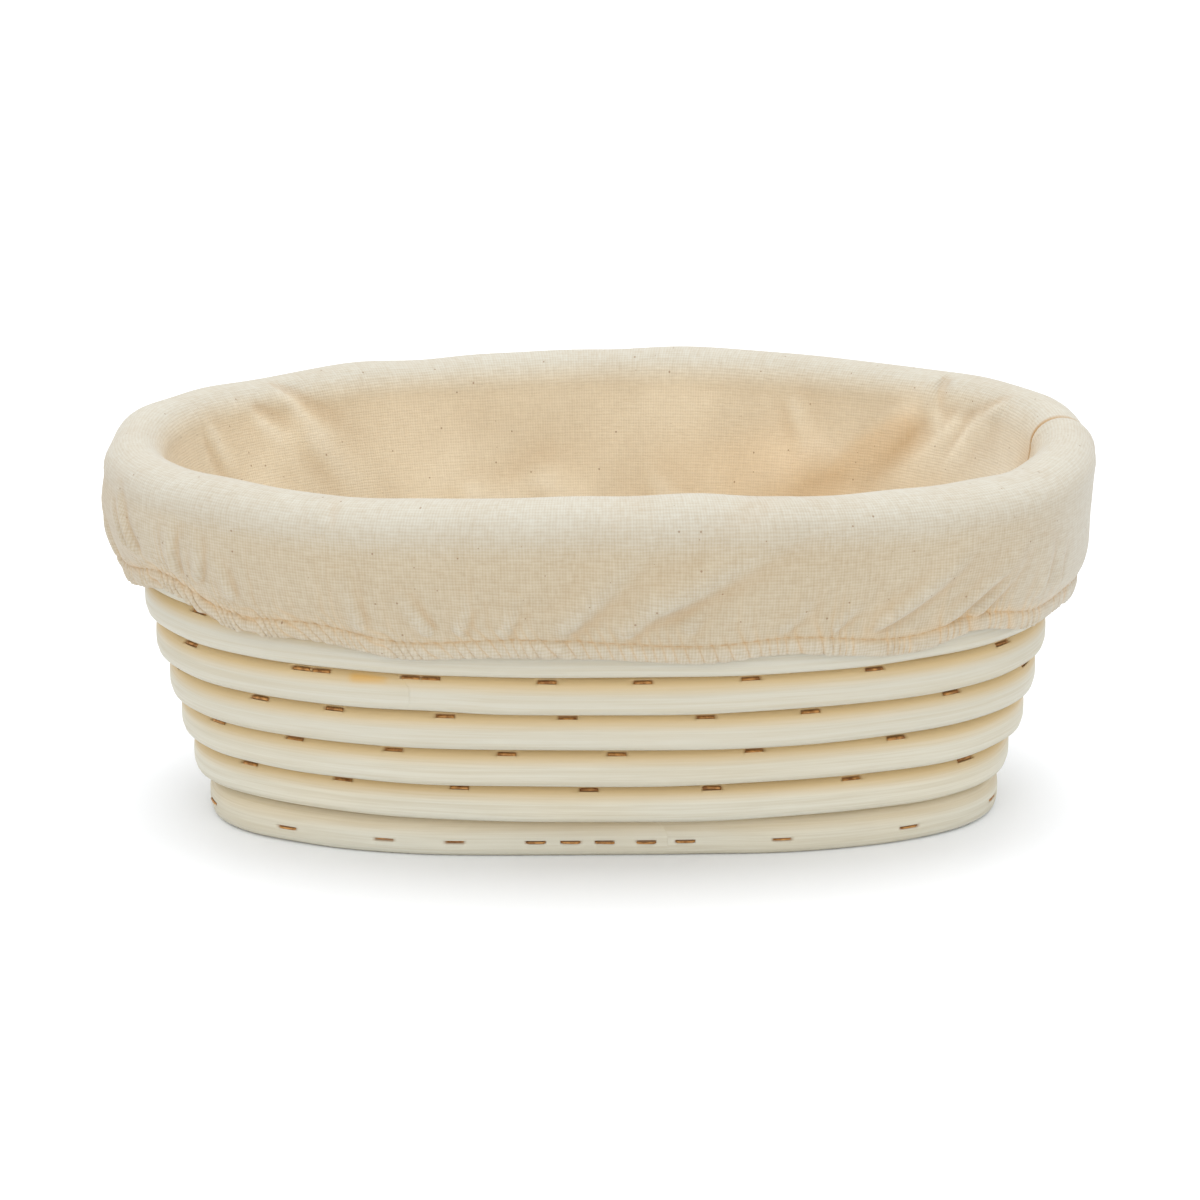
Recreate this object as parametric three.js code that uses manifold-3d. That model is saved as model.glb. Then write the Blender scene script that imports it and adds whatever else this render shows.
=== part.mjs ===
// An oval proofing basket: nine level hoops of bent cane stapled one on another, a floor of cane
// slats inside the lowest hoop, and a cotton liner that folds over the rim to an elastic hem.
// Millimetres. The length lies along X, the basket stands on Z = 0, and its middle is at X = Y = 0.
import * as THREE from "three";
import { mergeVertices } from "three/addons/utils/BufferGeometryUtils.js";
import Module from "manifold-3d";

const wasm = await Module();
wasm.setup();

// The cane basket
const RIM_LENGTH = 220; // outside of the top hoop
const RIM_WIDTH = 132;
const FOOT_LENGTH = 182; // outside of the lowest hoop
const FOOT_WIDTH = 81;
const CANE = 9.4; // thickness of the cane across its flats
const HOOP_COUNT = 9;
const STACK_GAP = 0.3; // between one hoop and the next
const END_BELLY = 1.2; // how the end walls bend from foot to rim, 1 being straight
const SIDE_BELLY = 1.4; // the same for the long walls
const WALL_SQUARENESS = 2.3; // exponent of the oval, 2 being an ellipse
const FOOT_SQUARENESS = 2.6; // the lowest hoop is fuller at its corners

// The floor of straight cane slats
const SLAT_GAP = 0.4; // from a slat's end to the lowest hoop
const FLOOR_LIFT = 0.4; // the slats hang clear of the table
const SLAT_SPACE = 0.8; // between two slats
const SLAT_COUNT = 6; // their width fills the floor

// The lapped joint that closes each hoop
const LAP_ANGLE = THREE.MathUtils.degToRad(24); // slope of the cut against the cane
const LAP_SLIT = 0.5; // open space in the joint
const FRONT = 0.75; // turns from the right-hand end, anticlockwise from above
const BACK = 0.25;
const BACK_LAP_SPREAD = 0.04; // the hidden joints are spread along the back
const SEEN_LAPS = { 1: FRONT + 0.003, 5: FRONT - 0.08 }; // the two joints in the front wall

// Wire staples
const WIRE = 1;
const CROWN = 5; // outside width of a staple
const STACK_LEG = 7; // from one hoop up into the next
const LAP_LEG = 6.5; // through a lapped joint
const FLOOR_LEG = 15; // through the lowest hoop into the floor
const WIRE_CLEARANCE = 0.3;
const FACE_MOUTH = 2; // the slot of a staple in the outer face runs out past the cane
const SHOULDER = THREE.MathUtils.degToRad(45); // the crown lies on the upper shoulder of a hoop
const DRIVE = THREE.MathUtils.degToRad(68); // and its legs lean in from upright
const STACK_TURNS = [0.12, 0.38, 0.6, 0.88];
const STACK_STAGGER = 0.015;
const FLOOR_TURNS = [0, 0.25, 0.5, 0.68, 0.82];
const LAP_TURNS = { 1: [-0.011, 0.011], 5: [-0.026, 0.026] };

// The cotton liner
const CLOTH = 0.6;
const CLOTH_GAP = 0.35; // from the cloth to the cane
const SEAM_GAP = 0.4; // between two panels at a seam
const HEM_HOOP = 6; // the elastic lies in the crease above this hoop
const RUFFLE = 3.6; // cloth below the elastic
const ELASTIC_WIDTH = 3;
const ELASTIC_THICKNESS = 0.7;
const CASING_CLEARANCE = 0.3; // around the elastic
const FOLD_COUNT = 16; // main folds gathered by the elastic
const FOLD_SKIRT = 1; // how far the folds stand out halfway down the skirt
const FOLD_HEM = 0.4; // along the elastic
const FOLD_RUFFLE = 2; // at the lower edge
const HOOP_STEPS = 48; // facets along a hoop
const FOLD_STEPS = 4; // facets along one fold
const LOOSE_BREADTH = 0.021; // half the breadth of a loose fold inside the liner, in turns
const LOOSE_FOLDS = [
  { rim: 0.035, floor: 0.045, depth: 1.8 }, // from a turn at the rim to a turn at the floor
  { rim: 0.085, floor: 0.125, depth: 2.2 },
  { rim: 0.165, floor: 0.235, depth: 1.8 },
  { rim: 0.3, floor: 0.27, depth: 1.2 },
  { rim: 0.365, floor: 0.335, depth: 1.8 },
  { rim: 0.415, floor: 0.395, depth: 1.8 },
  { rim: 0.47, floor: 0.455, depth: 1.6 },
  { rim: 0.53, floor: 0.55, depth: 2 },
  { rim: 0.6, floor: 0.58, depth: 2.2 },
  { rim: 0.66, floor: 0.68, depth: 1.6 },
  { rim: 0.73, floor: 0.72, depth: 2 },
  { rim: 0.79, floor: 0.81, depth: 1.8 },
  { rim: 0.86, floor: 0.84, depth: 2.2 },
  { rim: 0.92, floor: 0.935, depth: 2 },
  { rim: 0.985, floor: 0.975, depth: 1.6 },
];

const clothSteps = FOLD_COUNT * FOLD_STEPS;
const caneHalf = CANE / 2;
const caneFlat = caneHalf * Math.tan(Math.PI / 8);
const caneCorner = caneHalf / Math.cos(Math.PI / 8);
const hoopRise = CANE + STACK_GAP;
const lapLength = (2 * CANE) / Math.sin(LAP_ANGLE); // the cut runs out of the cane on both sides
const footHeight = caneHalf;
const rimHeight = footHeight + hoopRise * (HOOP_COUNT - 1);

// Half length and half width of the wall's middle line at a height.
function wallAt(height) {
  const down = (rimHeight - height) / (rimHeight - footHeight);
  const share = THREE.MathUtils.clamp(down, 0, 1);
  return {
    long: RIM_LENGTH / 2 - caneHalf - ((RIM_LENGTH - FOOT_LENGTH) / 2) * share ** END_BELLY,
    wide: RIM_WIDTH / 2 - caneHalf - ((RIM_WIDTH - FOOT_WIDTH) / 2) * share ** SIDE_BELLY,
  };
}

function hoopHeight(number) {
  return footHeight + hoopRise * (number - 1);
}

function hoopSquareness(number) {
  return number === 1 ? FOOT_SQUARENESS : WALL_SQUARENESS;
}

// A point of the oval that stands outside the given half sizes by the offset.
function ovalPoint(size, offset, squareness, turn, height) {
  const angle = turn * 2 * Math.PI;
  const along = Math.cos(angle);
  const across = Math.sin(angle);
  const power = 2 / squareness;
  return new THREE.Vector3(
    (size.long + offset) * Math.sign(along) * Math.abs(along) ** power,
    (size.wide + offset) * Math.sign(across) * Math.abs(across) ** power,
    height,
  );
}

// A closed ring whose cross-section at each step is the loop of points that sectionAt(turn) gives.
// The loop runs anticlockwise with outward to the right and up at the top.
function closedRing(steps, sectionAt) {
  const sections = [];
  for (let step = 0; step < steps; step += 1) {
    sections.push(sectionAt((step + 0.5) / steps));
  }
  const count = sections[0].length;
  const positions = sections.flat().flatMap((point) => point.toArray());
  const index = [];
  for (let step = 0; step < steps; step += 1) {
    const here = step * count;
    const next = ((step + 1) % steps) * count;
    for (let corner = 0; corner < count; corner += 1) {
      const after = (corner + 1) % count;
      index.push(here + corner, next + corner, here + after);
      index.push(next + corner, next + after, here + after);
    }
  }
  const geometry = new THREE.BufferGeometry();
  geometry.setAttribute("position", new THREE.Float32BufferAttribute(positions, 3));
  geometry.setIndex(index);
  return geometry;
}

function toSolid(geometry) {
  const bare = geometry.clone();
  bare.deleteAttribute("normal");
  bare.deleteAttribute("uv");
  const merged = mergeVertices(bare, 1e-4);
  return new wasm.Manifold(
    new wasm.Mesh({
      numProp: 3,
      vertProperties: new Float32Array(merged.attributes.position.array),
      triVerts: new Uint32Array(merged.index.array),
    }),
  );
}

function toGeometry(solid) {
  const mesh = solid.getMesh();
  const geometry = new THREE.BufferGeometry();
  geometry.setAttribute("position", new THREE.Float32BufferAttribute(mesh.vertProperties, 3));
  geometry.setIndex([...mesh.triVerts]);
  geometry.computeVertexNormals();
  return geometry;
}

// Corners of the eight-sided cane, as offsets out from and up from its middle line.
const caneCorners = Array.from({ length: 8 }, (_, corner) => {
  const angle = (corner + 0.5) * (Math.PI / 4);
  return { out: caneCorner * Math.cos(angle), up: caneCorner * Math.sin(angle) };
});

// Placement at a turn of a hoop: X along the cane, Y outward, Z up.
function placeOnHoop(number, turn) {
  const height = hoopHeight(number);
  const size = wallAt(height);
  const shape = hoopSquareness(number);
  const small = 1e-3;
  const ahead = ovalPoint(size, 0, shape, turn + small, height);
  const behind = ovalPoint(size, 0, shape, turn - small, height);
  const along = behind.sub(ahead).normalize();
  const up = new THREE.Vector3(0, 0, 1);
  const outward = new THREE.Vector3().crossVectors(up, along);
  const middle = ovalPoint(size, 0, shape, turn, height);
  return new THREE.Matrix4().makeBasis(along, outward, up).setPosition(middle);
}

// A staple's placement: X along its crown, Y the way that its legs are driven.
function stapleOnShoulder(number, turn) {
  const sunk = caneHalf - WIRE;
  return placeOnHoop(number, turn)
    .multiply(new THREE.Matrix4().makeTranslation(0, sunk * Math.cos(SHOULDER), sunk * Math.sin(SHOULDER)))
    .multiply(new THREE.Matrix4().makeRotationX(Math.PI - DRIVE));
}

function stapleOnFace(number, turn) {
  return placeOnHoop(number, turn)
    .multiply(new THREE.Matrix4().makeTranslation(0, caneHalf - WIRE_CLEARANCE, 0))
    .multiply(new THREE.Matrix4().makeRotationX(Math.PI));
}

function stapleGeometry(leg) {
  const outline = new THREE.Shape();
  const half = CROWN / 2;
  outline.moveTo(-half, 0);
  outline.lineTo(half, 0);
  outline.lineTo(half, leg);
  outline.lineTo(half - WIRE, leg);
  outline.lineTo(half - WIRE, WIRE);
  outline.lineTo(-half + WIRE, WIRE);
  outline.lineTo(-half + WIRE, leg);
  outline.lineTo(-half, leg);
  outline.closePath();
  const wire = new THREE.ExtrudeGeometry(outline, { depth: WIRE, bevelEnabled: false });
  return wire.translate(0, 0, -WIRE / 2);
}

// The slot that a staple is driven into, from a mouth behind its crown to the tips of its legs.
function stapleSlot(leg, mouth, placement) {
  const width = CROWN + 2 * WIRE_CLEARANCE;
  const length = mouth + leg + WIRE_CLEARANCE;
  const box = new THREE.BoxGeometry(width, length, WIRE + 2 * WIRE_CLEARANCE);
  return toSolid(box.translate(0, length / 2 - mouth, 0).applyMatrix4(placement));
}

// The open pocket over a crown on a shoulder, which lets the crown be seen from outside.
function crownPocket(placement) {
  const across = WIRE + 2 * WIRE_CLEARANCE;
  const depth = caneHalf;
  const box = new THREE.BoxGeometry(CROWN + 2 * WIRE_CLEARANCE, across, depth);
  return toSolid(box.translate(0, WIRE / 2, (across - depth) / 2).applyMatrix4(placement));
}

const caneMaterial = () =>
  new THREE.MeshStandardMaterial({ color: 0xdcc9a4, roughness: 0.62, metalness: 0 });
const wireMaterial = () =>
  new THREE.MeshStandardMaterial({ color: 0x8a6a44, roughness: 0.4, metalness: 0.9 });
const clothMaterial = () =>
  new THREE.MeshStandardMaterial({ color: 0xe6d9c3, roughness: 0.95, metalness: 0 });
const elasticMaterial = () =>
  new THREE.MeshStandardMaterial({ color: 0xf0ede6, roughness: 0.8, metalness: 0 });

const basket = new THREE.Group();
const liner = new THREE.Group();

function addPiece(group, name, geometry, material) {
  const mesh = new THREE.Mesh(geometry, material);
  mesh.name = name;
  group.add(mesh);
}

// Every cut that the staples make, kept under the piece that it is made in.
const cuts = new Map();

function cutInto(piece, solid) {
  cuts.set(piece, [...(cuts.get(piece) ?? []), solid]);
}

function cutPiece(piece, solid) {
  return (cuts.get(piece) ?? []).reduce((rest, cut) => rest.subtract(cut), solid);
}

function addStackStaples() {
  for (let number = 1; number < HOOP_COUNT; number += 1) {
    STACK_TURNS.forEach((share, place) => {
      const turn = share + (number % 2 ? STACK_STAGGER : -STACK_STAGGER);
      const placement = stapleOnShoulder(number, turn);
      const slot = stapleSlot(STACK_LEG, WIRE_CLEARANCE, placement);
      cutInto(`cane_hoop_${number}`, slot);
      cutInto(`cane_hoop_${number}`, crownPocket(placement));
      cutInto(`cane_hoop_${number + 1}`, slot);
      const geometry = stapleGeometry(STACK_LEG).applyMatrix4(placement);
      addPiece(basket, `hoop_staple_${number}_${place + 1}`, geometry, wireMaterial());
    });
  }
}

function addLapStaples() {
  for (const [number, shifts] of Object.entries(LAP_TURNS)) {
    shifts.forEach((shift, place) => {
      const placement = stapleOnFace(Number(number), SEEN_LAPS[number] + shift);
      cutInto(`cane_hoop_${number}`, stapleSlot(LAP_LEG, FACE_MOUTH, placement));
      const geometry = stapleGeometry(LAP_LEG).applyMatrix4(placement);
      addPiece(basket, `lap_staple_${number}_${place + 1}`, geometry, wireMaterial());
    });
  }
}

function addFloorStaples() {
  FLOOR_TURNS.forEach((turn, place) => {
    const placement = stapleOnFace(1, turn);
    const slot = stapleSlot(FLOOR_LEG, FACE_MOUTH, placement);
    cutInto("cane_hoop_1", slot);
    for (let slat = 1; slat <= SLAT_COUNT; slat += 1) {
      cutInto(`floor_slat_${slat}`, slot);
    }
    const geometry = stapleGeometry(FLOOR_LEG).applyMatrix4(placement);
    addPiece(basket, `floor_staple_${place + 1}`, geometry, wireMaterial());
  });
}

function lapTurn(number) {
  return SEEN_LAPS[number] ?? BACK + BACK_LAP_SPREAD * ((number % 3) - 1);
}

function addHoops() {
  for (let number = 1; number <= HOOP_COUNT; number += 1) {
    const height = hoopHeight(number);
    const size = wallAt(height);
    const shape = hoopSquareness(number);
    const ring = closedRing(HOOP_STEPS, (turn) =>
      caneCorners.map(({ out, up }) => ovalPoint(size, out, shape, turn, height + up)),
    );
    const slit = new THREE.BoxGeometry(lapLength, LAP_SLIT, 2 * CANE)
      .applyMatrix4(new THREE.Matrix4().makeRotationZ(LAP_ANGLE))
      .applyMatrix4(placeOnHoop(number, lapTurn(number)));
    const name = `cane_hoop_${number}`;
    const hoop = cutPiece(name, toSolid(ring).subtract(toSolid(slit)));
    addPiece(basket, name, toGeometry(hoop), caneMaterial());
  }
}

const footSize = wallAt(footHeight);
const floorHalfWidth = footSize.wide - caneHalf - SLAT_GAP;
const slatWidth = (2 * floorHalfWidth - SLAT_SPACE * (SLAT_COUNT - 1)) / SLAT_COUNT;
const slatPitch = slatWidth + SLAT_SPACE;

// Straight canes side by side, their ends trimmed to the inside of the lowest hoop.
function addFloor() {
  const outline = new THREE.Shape();
  for (let step = 0; step < HOOP_STEPS; step += 1) {
    const turn = (step + 0.5) / HOOP_STEPS;
    const point = ovalPoint(footSize, -caneHalf - SLAT_GAP, FOOT_SQUARENESS, turn, 0);
    if (step === 0) {
      outline.moveTo(point.x, point.y);
    } else {
      outline.lineTo(point.x, point.y);
    }
  }
  const trim = toSolid(new THREE.ExtrudeGeometry(outline, { depth: 2 * CANE, bevelEnabled: false }));
  const spread = slatWidth / CANE;
  const section = new THREE.Shape(caneCorners.map(({ out, up }) => new THREE.Vector2(out * spread, up)));
  for (let slat = 1; slat <= SLAT_COUNT; slat += 1) {
    const cane = new THREE.ExtrudeGeometry(section, { depth: FOOT_LENGTH, bevelEnabled: false })
      .translate(0, 0, -FOOT_LENGTH / 2)
      .rotateX(Math.PI / 2)
      .rotateZ(Math.PI / 2)
      .translate(0, -floorHalfWidth + slatWidth / 2 + slatPitch * (slat - 1), caneHalf + FLOOR_LIFT);
    const name = `floor_slat_${slat}`;
    addPiece(basket, name, toGeometry(cutPiece(name, toSolid(cane).intersect(trim))), caneMaterial());
  }
}

// How far a leaning wall carries a hoop's flat face past the wall's middle line.
function leanRoom() {
  const rooms = [0];
  for (let number = 1; number <= HOOP_COUNT; number += 1) {
    const here = wallAt(hoopHeight(number));
    for (const rise of [-caneFlat, caneFlat]) {
      const there = wallAt(hoopHeight(number) + rise);
      rooms.push(Math.abs(here.long - there.long), Math.abs(here.wide - there.wide));
    }
  }
  return Math.max(...rooms);
}

const clothOffset = Math.max(caneHalf + leanRoom(), caneCorner) + CLOTH_GAP;
const linerFloor = FLOOR_LIFT + CANE + CLOTH_GAP;
const rollSeam = SEAM_GAP / clothOffset / 2; // half the seam on the crest, as an angle

// A point of the cloth where it rolls over the rim, the angle counted from straight out.
function rollPoint(angle, layer) {
  const radius = clothOffset + layer;
  return { height: rimHeight + radius * Math.sin(angle), out: radius * Math.cos(angle), fold: 0 };
}

// How far the gathers of the elastic make the cloth stand out.
function gatherStand(turn, { fold }) {
  return fold * 0.5 * (1 + Math.cos(2 * Math.PI * FOLD_COUNT * turn));
}

// How far a loose fold makes the cloth stand in from the wall, most of all at mid height.
function looseStand(turn, { height }) {
  const share = THREE.MathUtils.clamp((height - linerFloor) / (rimHeight - linerFloor), 0, 1);
  const weight = THREE.MathUtils.smoothstep(share, 0, 0.4) * THREE.MathUtils.smoothstep(1 - share, 0, 0.5);
  let stand = 0;
  for (const { rim, floor, depth } of LOOSE_FOLDS) {
    const away = turn - THREE.MathUtils.lerp(floor, rim, share);
    const nearest = (away - Math.round(away)) / LOOSE_BREADTH;
    stand += depth * Math.exp(-nearest * nearest);
  }
  return -weight * stand;
}

function clothRing(profile, standAt) {
  return closedRing(clothSteps, (turn) =>
    profile.map((point) => {
      const stand = point.out + standAt(turn, point);
      return ovalPoint(wallAt(point.height), stand, WALL_SQUARENESS, turn, point.height);
    }),
  );
}

// The inside of the liner, from the floor seam up to the seam on the crest of the rim.
function addLinerWall() {
  const rolled = [Math.PI, (3 * Math.PI) / 4, Math.PI / 2 + rollSeam];
  const rows = [0, 0.25, 0.5, 0.75].map((share) => THREE.MathUtils.lerp(linerFloor, rimHeight, share));
  const caneSide = rows.map((height) => ({ height, out: -clothOffset }));
  const doughSide = rows.map((height) => ({ height, out: -clothOffset - CLOTH }));
  const profile = [
    ...caneSide,
    ...rolled.map((angle) => rollPoint(angle, 0)),
    ...rolled.map((angle) => rollPoint(angle, CLOTH)).reverse(),
    ...doughSide.reverse(),
  ];
  addPiece(liner, "liner_wall", clothRing(profile, looseStand), clothMaterial());
}

// The oval panel in the bottom of the liner.
function addLinerFloor() {
  const size = wallAt(linerFloor);
  const edge = -clothOffset - CLOTH - SEAM_GAP;
  const outline = new THREE.Shape();
  for (let step = 0; step < clothSteps; step += 1) {
    const point = ovalPoint(size, edge, WALL_SQUARENESS, (step + 0.5) / clothSteps, 0);
    if (step === 0) {
      outline.moveTo(point.x, point.y);
    } else {
      outline.lineTo(point.x, point.y);
    }
  }
  const panel = new THREE.ExtrudeGeometry(outline, { depth: CLOTH, bevelEnabled: false });
  addPiece(liner, "liner_floor", panel.translate(0, 0, linerFloor), clothMaterial());
}

const elasticHeight = hoopHeight(HEM_HOOP) + hoopRise / 2;
const casingTop = elasticHeight + ELASTIC_WIDTH / 2 + CASING_CLEARANCE;
const casingBottom = elasticHeight - ELASTIC_WIDTH / 2 - CASING_CLEARANCE;
const ruffleEdge = casingBottom - RUFFLE;
const elasticOut = clothOffset + CLOTH + CASING_CLEARANCE;
const casingOut = elasticOut + ELASTIC_THICKNESS + CASING_CLEARANCE;

// The part of the liner outside the rim: the roll, the skirt, and the hem turned up around the elastic.
function addLinerSkirt() {
  const middle = (rimHeight + casingTop) / 2;
  const rolled = [Math.PI / 2 - rollSeam, Math.PI / 4, 0];
  const outerSide = [
    { height: middle, out: clothOffset + CLOTH, fold: FOLD_SKIRT },
    { height: casingTop + CLOTH, out: casingOut + CLOTH, fold: FOLD_HEM },
    { height: casingBottom, out: casingOut + CLOTH, fold: FOLD_HEM },
    { height: ruffleEdge, out: casingOut, fold: FOLD_RUFFLE },
  ];
  const hem = [
    { height: ruffleEdge, out: clothOffset, fold: FOLD_RUFFLE },
    { height: casingBottom, out: clothOffset, fold: 0 },
    { height: casingTop, out: clothOffset, fold: 0 },
    { height: casingTop, out: clothOffset + CLOTH, fold: 0 },
    { height: casingBottom, out: clothOffset + CLOTH, fold: 0 },
    { height: casingBottom, out: casingOut, fold: FOLD_HEM },
    { height: casingTop, out: casingOut, fold: FOLD_HEM },
    { height: middle, out: clothOffset, fold: FOLD_SKIRT },
  ];
  const profile = [
    ...rolled.map((angle) => rollPoint(angle, CLOTH)),
    ...outerSide,
    ...hem,
    ...rolled.map((angle) => rollPoint(angle, 0)).reverse(),
  ];
  addPiece(liner, "liner_skirt", clothRing(profile.reverse(), gatherStand), clothMaterial());
}

function addElastic() {
  const low = elasticHeight - ELASTIC_WIDTH / 2;
  const high = elasticHeight + ELASTIC_WIDTH / 2;
  const profile = [
    { height: low, out: elasticOut, fold: 0 },
    { height: low, out: elasticOut + ELASTIC_THICKNESS, fold: 0 },
    { height: high, out: elasticOut + ELASTIC_THICKNESS, fold: 0 },
    { height: high, out: elasticOut, fold: 0 },
  ];
  addPiece(liner, "hem_elastic", clothRing(profile, gatherStand), elasticMaterial());
}

addStackStaples();
addLapStaples();
addFloorStaples();
addHoops();
addFloor();
addLinerWall();
addLinerFloor();
addLinerSkirt();
addElastic();

const proofingBasket = new THREE.Group();
proofingBasket.add(basket, liner);

export default proofingBasket;
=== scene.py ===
# %% [markdown]
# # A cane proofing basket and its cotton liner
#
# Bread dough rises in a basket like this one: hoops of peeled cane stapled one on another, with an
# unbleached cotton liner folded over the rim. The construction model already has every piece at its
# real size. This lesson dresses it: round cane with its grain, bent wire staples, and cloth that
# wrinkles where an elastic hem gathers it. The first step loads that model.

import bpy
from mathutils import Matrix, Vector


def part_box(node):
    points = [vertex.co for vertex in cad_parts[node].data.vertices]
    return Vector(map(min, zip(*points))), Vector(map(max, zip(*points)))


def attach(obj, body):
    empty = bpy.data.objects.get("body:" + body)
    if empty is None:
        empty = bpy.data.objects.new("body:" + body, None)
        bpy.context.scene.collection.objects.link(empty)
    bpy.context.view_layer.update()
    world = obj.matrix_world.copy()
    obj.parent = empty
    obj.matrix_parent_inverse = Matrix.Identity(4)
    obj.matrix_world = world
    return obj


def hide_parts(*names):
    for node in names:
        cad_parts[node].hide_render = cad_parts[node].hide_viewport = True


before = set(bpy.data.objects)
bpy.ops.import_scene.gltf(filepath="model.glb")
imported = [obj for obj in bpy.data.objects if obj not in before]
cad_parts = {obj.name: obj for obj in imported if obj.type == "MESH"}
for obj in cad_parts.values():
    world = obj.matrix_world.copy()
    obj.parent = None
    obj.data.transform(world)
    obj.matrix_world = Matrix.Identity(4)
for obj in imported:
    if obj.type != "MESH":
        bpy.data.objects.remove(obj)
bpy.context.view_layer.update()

# %% [markdown]
# ## Sizes from the frame
#
# Blender works in metres, but a basket maker thinks in millimetres, so every size below is in
# millimetres and is turned into metres where a mesh is made. The hoops' heights and half sizes are read
# from the frame. A smooth curve through them gives the wall at any height, for the cloth to follow.

# %% Sizes of the hoops and of the wall
import math

import bpy
import numpy as np
from mathutils import Quaternion, Vector

MM = 0.001
WALL_SQUARENESS = 2.3  # exponent of the ovals, 2 being an ellipse
FOOT_SQUARENESS = 2.6  # the lowest hoop is fuller at its corners
WALL_DEGREE = 4  # of the curve through the hoops

hoop_count = sum(name.startswith("cane_hoop_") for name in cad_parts)
hoop_corners = np.array([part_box(f"cane_hoop_{number + 1}") for number in range(hoop_count)]) / MM
hoop_halves = (hoop_corners[:, 1] - hoop_corners[:, 0]) / 2
cane = 2 * hoop_halves[0, 2]
hoop_height = hoop_corners.mean(axis=1)[:, 2]
hoop_long = hoop_halves[:, 0] - cane / 2
hoop_wide = hoop_halves[:, 1] - cane / 2
rim_height = hoop_height[-1]
wall_long = np.poly1d(np.polyfit(hoop_height, hoop_long, WALL_DEGREE))
wall_wide = np.poly1d(np.polyfit(hoop_height, hoop_wide, WALL_DEGREE))


def oval(long, wide, squareness, turn):
    """Points of an oval at a share of a turn, anticlockwise from its right-hand end."""
    angle = 2 * np.pi * np.asarray(turn)
    power = 2 / squareness
    x = long * np.sign(np.cos(angle)) * np.abs(np.cos(angle)) ** power
    y = wide * np.sign(np.sin(angle)) * np.abs(np.sin(angle)) ** power
    return x, y


print(f"{hoop_count} hoops of {cane:.1f} mm cane, rim {2 * hoop_halves[-1, 0]:.0f} mm long")

# %% [markdown]
# ## The camera
#
# The camera stands a little over a metre away with a long lens, as for a product photograph. That keeps
# the far rim almost as large as the near one. It looks down at about 18 degrees, slightly from the
# right, and the picture is level to within half a degree.

# %% Camera
VIEW_DISTANCE = 1230
VIEW_ELEVATION = math.radians(18.25)
VIEW_AZIMUTH = math.radians(0.8)
VIEW_ROLL = math.radians(0.49)
VIEW_TARGET = Vector((0, 0, 39.6))  # the point that the distance is counted from
VIEW_AIM = Vector((-0.25, 0, 47.8))  # the point in the middle of the picture
LENS = 161.0

away = Vector((
    math.sin(VIEW_AZIMUTH) * math.cos(VIEW_ELEVATION),
    -math.cos(VIEW_AZIMUTH) * math.cos(VIEW_ELEVATION),
    math.sin(VIEW_ELEVATION),
))
camera = bpy.data.objects.new("camera", bpy.data.cameras.new("camera"))
camera.data.lens = LENS
camera.data.clip_start = 0.05
camera.location = (VIEW_TARGET + away * VIEW_DISTANCE) * MM
aim = (VIEW_AIM * MM - camera.location).to_track_quat("-Z", "Y")
camera.rotation_euler = (aim @ Quaternion((0, 0, 1), -VIEW_ROLL)).to_euler()
bpy.context.scene.collection.objects.link(camera)
bpy.context.scene.camera = camera
print("camera at", [round(value / MM) for value in camera.location], "mm")

# %% [markdown]
# ## Node helpers
#
# Every finish below is a network of shader nodes, and a few small helpers keep the networks readable.
# The first adds a node with its settings and inputs, where an input is a number or another node's
# output. Three more are nodes that come back again and again: arithmetic, a change of range and a noise.
# The last starts a node group, which is an effect with named sockets that several materials share.

# %% Nodes


def add_node(tree, kind, inputs=None, **settings):
    """A node of that kind, with its inputs set to values or linked to other nodes' outputs."""
    node = tree.nodes.new(kind)
    for name, value in settings.items():
        setattr(node, name, value)
    for socket, value in (inputs or {}).items():
        if isinstance(value, bpy.types.NodeSocket):
            tree.links.new(value, node.inputs[socket])
        else:
            node.inputs[socket].default_value = value
    return node


def calculate(tree, operation, first, second=0.0, third=0.0):
    """The output of a math node."""
    inputs = {0: first, 1: second, 2: third}
    return add_node(tree, "ShaderNodeMath", inputs, operation=operation).outputs[0]


def remap(tree, value, low, high, to_low=0.0, to_high=1.0):
    """A value stretched from one range to another, smooth at both ends."""
    inputs = {"Value": value, "From Min": low, "From Max": high, "To Min": to_low, "To Max": to_high}
    return add_node(tree, "ShaderNodeMapRange", inputs, interpolation_type="SMOOTHSTEP").outputs[0]


def add_noise(tree, place, scale, detail, roughness):
    """The output of a noise texture."""
    inputs = {"Vector": place, "Scale": scale, "Detail": detail, "Roughness": roughness}
    return add_node(tree, "ShaderNodeTexNoise", inputs).outputs[0]


def new_group(name, inputs, outputs):
    """An empty node group with named sockets: the group, its entrance and its exit."""
    group = bpy.data.node_groups.new(name, "ShaderNodeTree")
    for label, kind, value in inputs:
        socket = group.interface.new_socket(label, in_out="INPUT", socket_type=kind)
        if value is not None:
            socket.default_value = value
    for label, kind in outputs:
        group.interface.new_socket(label, in_out="OUTPUT", socket_type=kind)
    entrance = group.nodes.new("NodeGroupInput").outputs
    leave = group.nodes.new("NodeGroupOutput").inputs
    return group, entrance, leave


print("node helpers ready")

# %% [markdown]
# ## Effects that several finishes share
#
# Peeled cane shows fine dark fibres along its length. A noise that is stretched along the cane gives
# them, and the same group serves the hoops and the floor. Cotton shows its crossing threads: one noise
# stretched along each thread direction makes some threads thicker than others, and the sum of two waves,
# one for each direction, gives the single threads of a plain weave. Both groups read the mesh's own UV
# map in millimetres, so the grain and the threads run with the piece. The third group is a slow drift of
# tone, because no natural material has one even colour.

# %% Fibre group
VECTOR, VALUE = "NodeSocketVector", "NodeSocketFloat"
FINE_SHARE = 0.5
BROAD_SHARE = 0.5
STREAK_RANGE = (0.36, 0.66)

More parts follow.
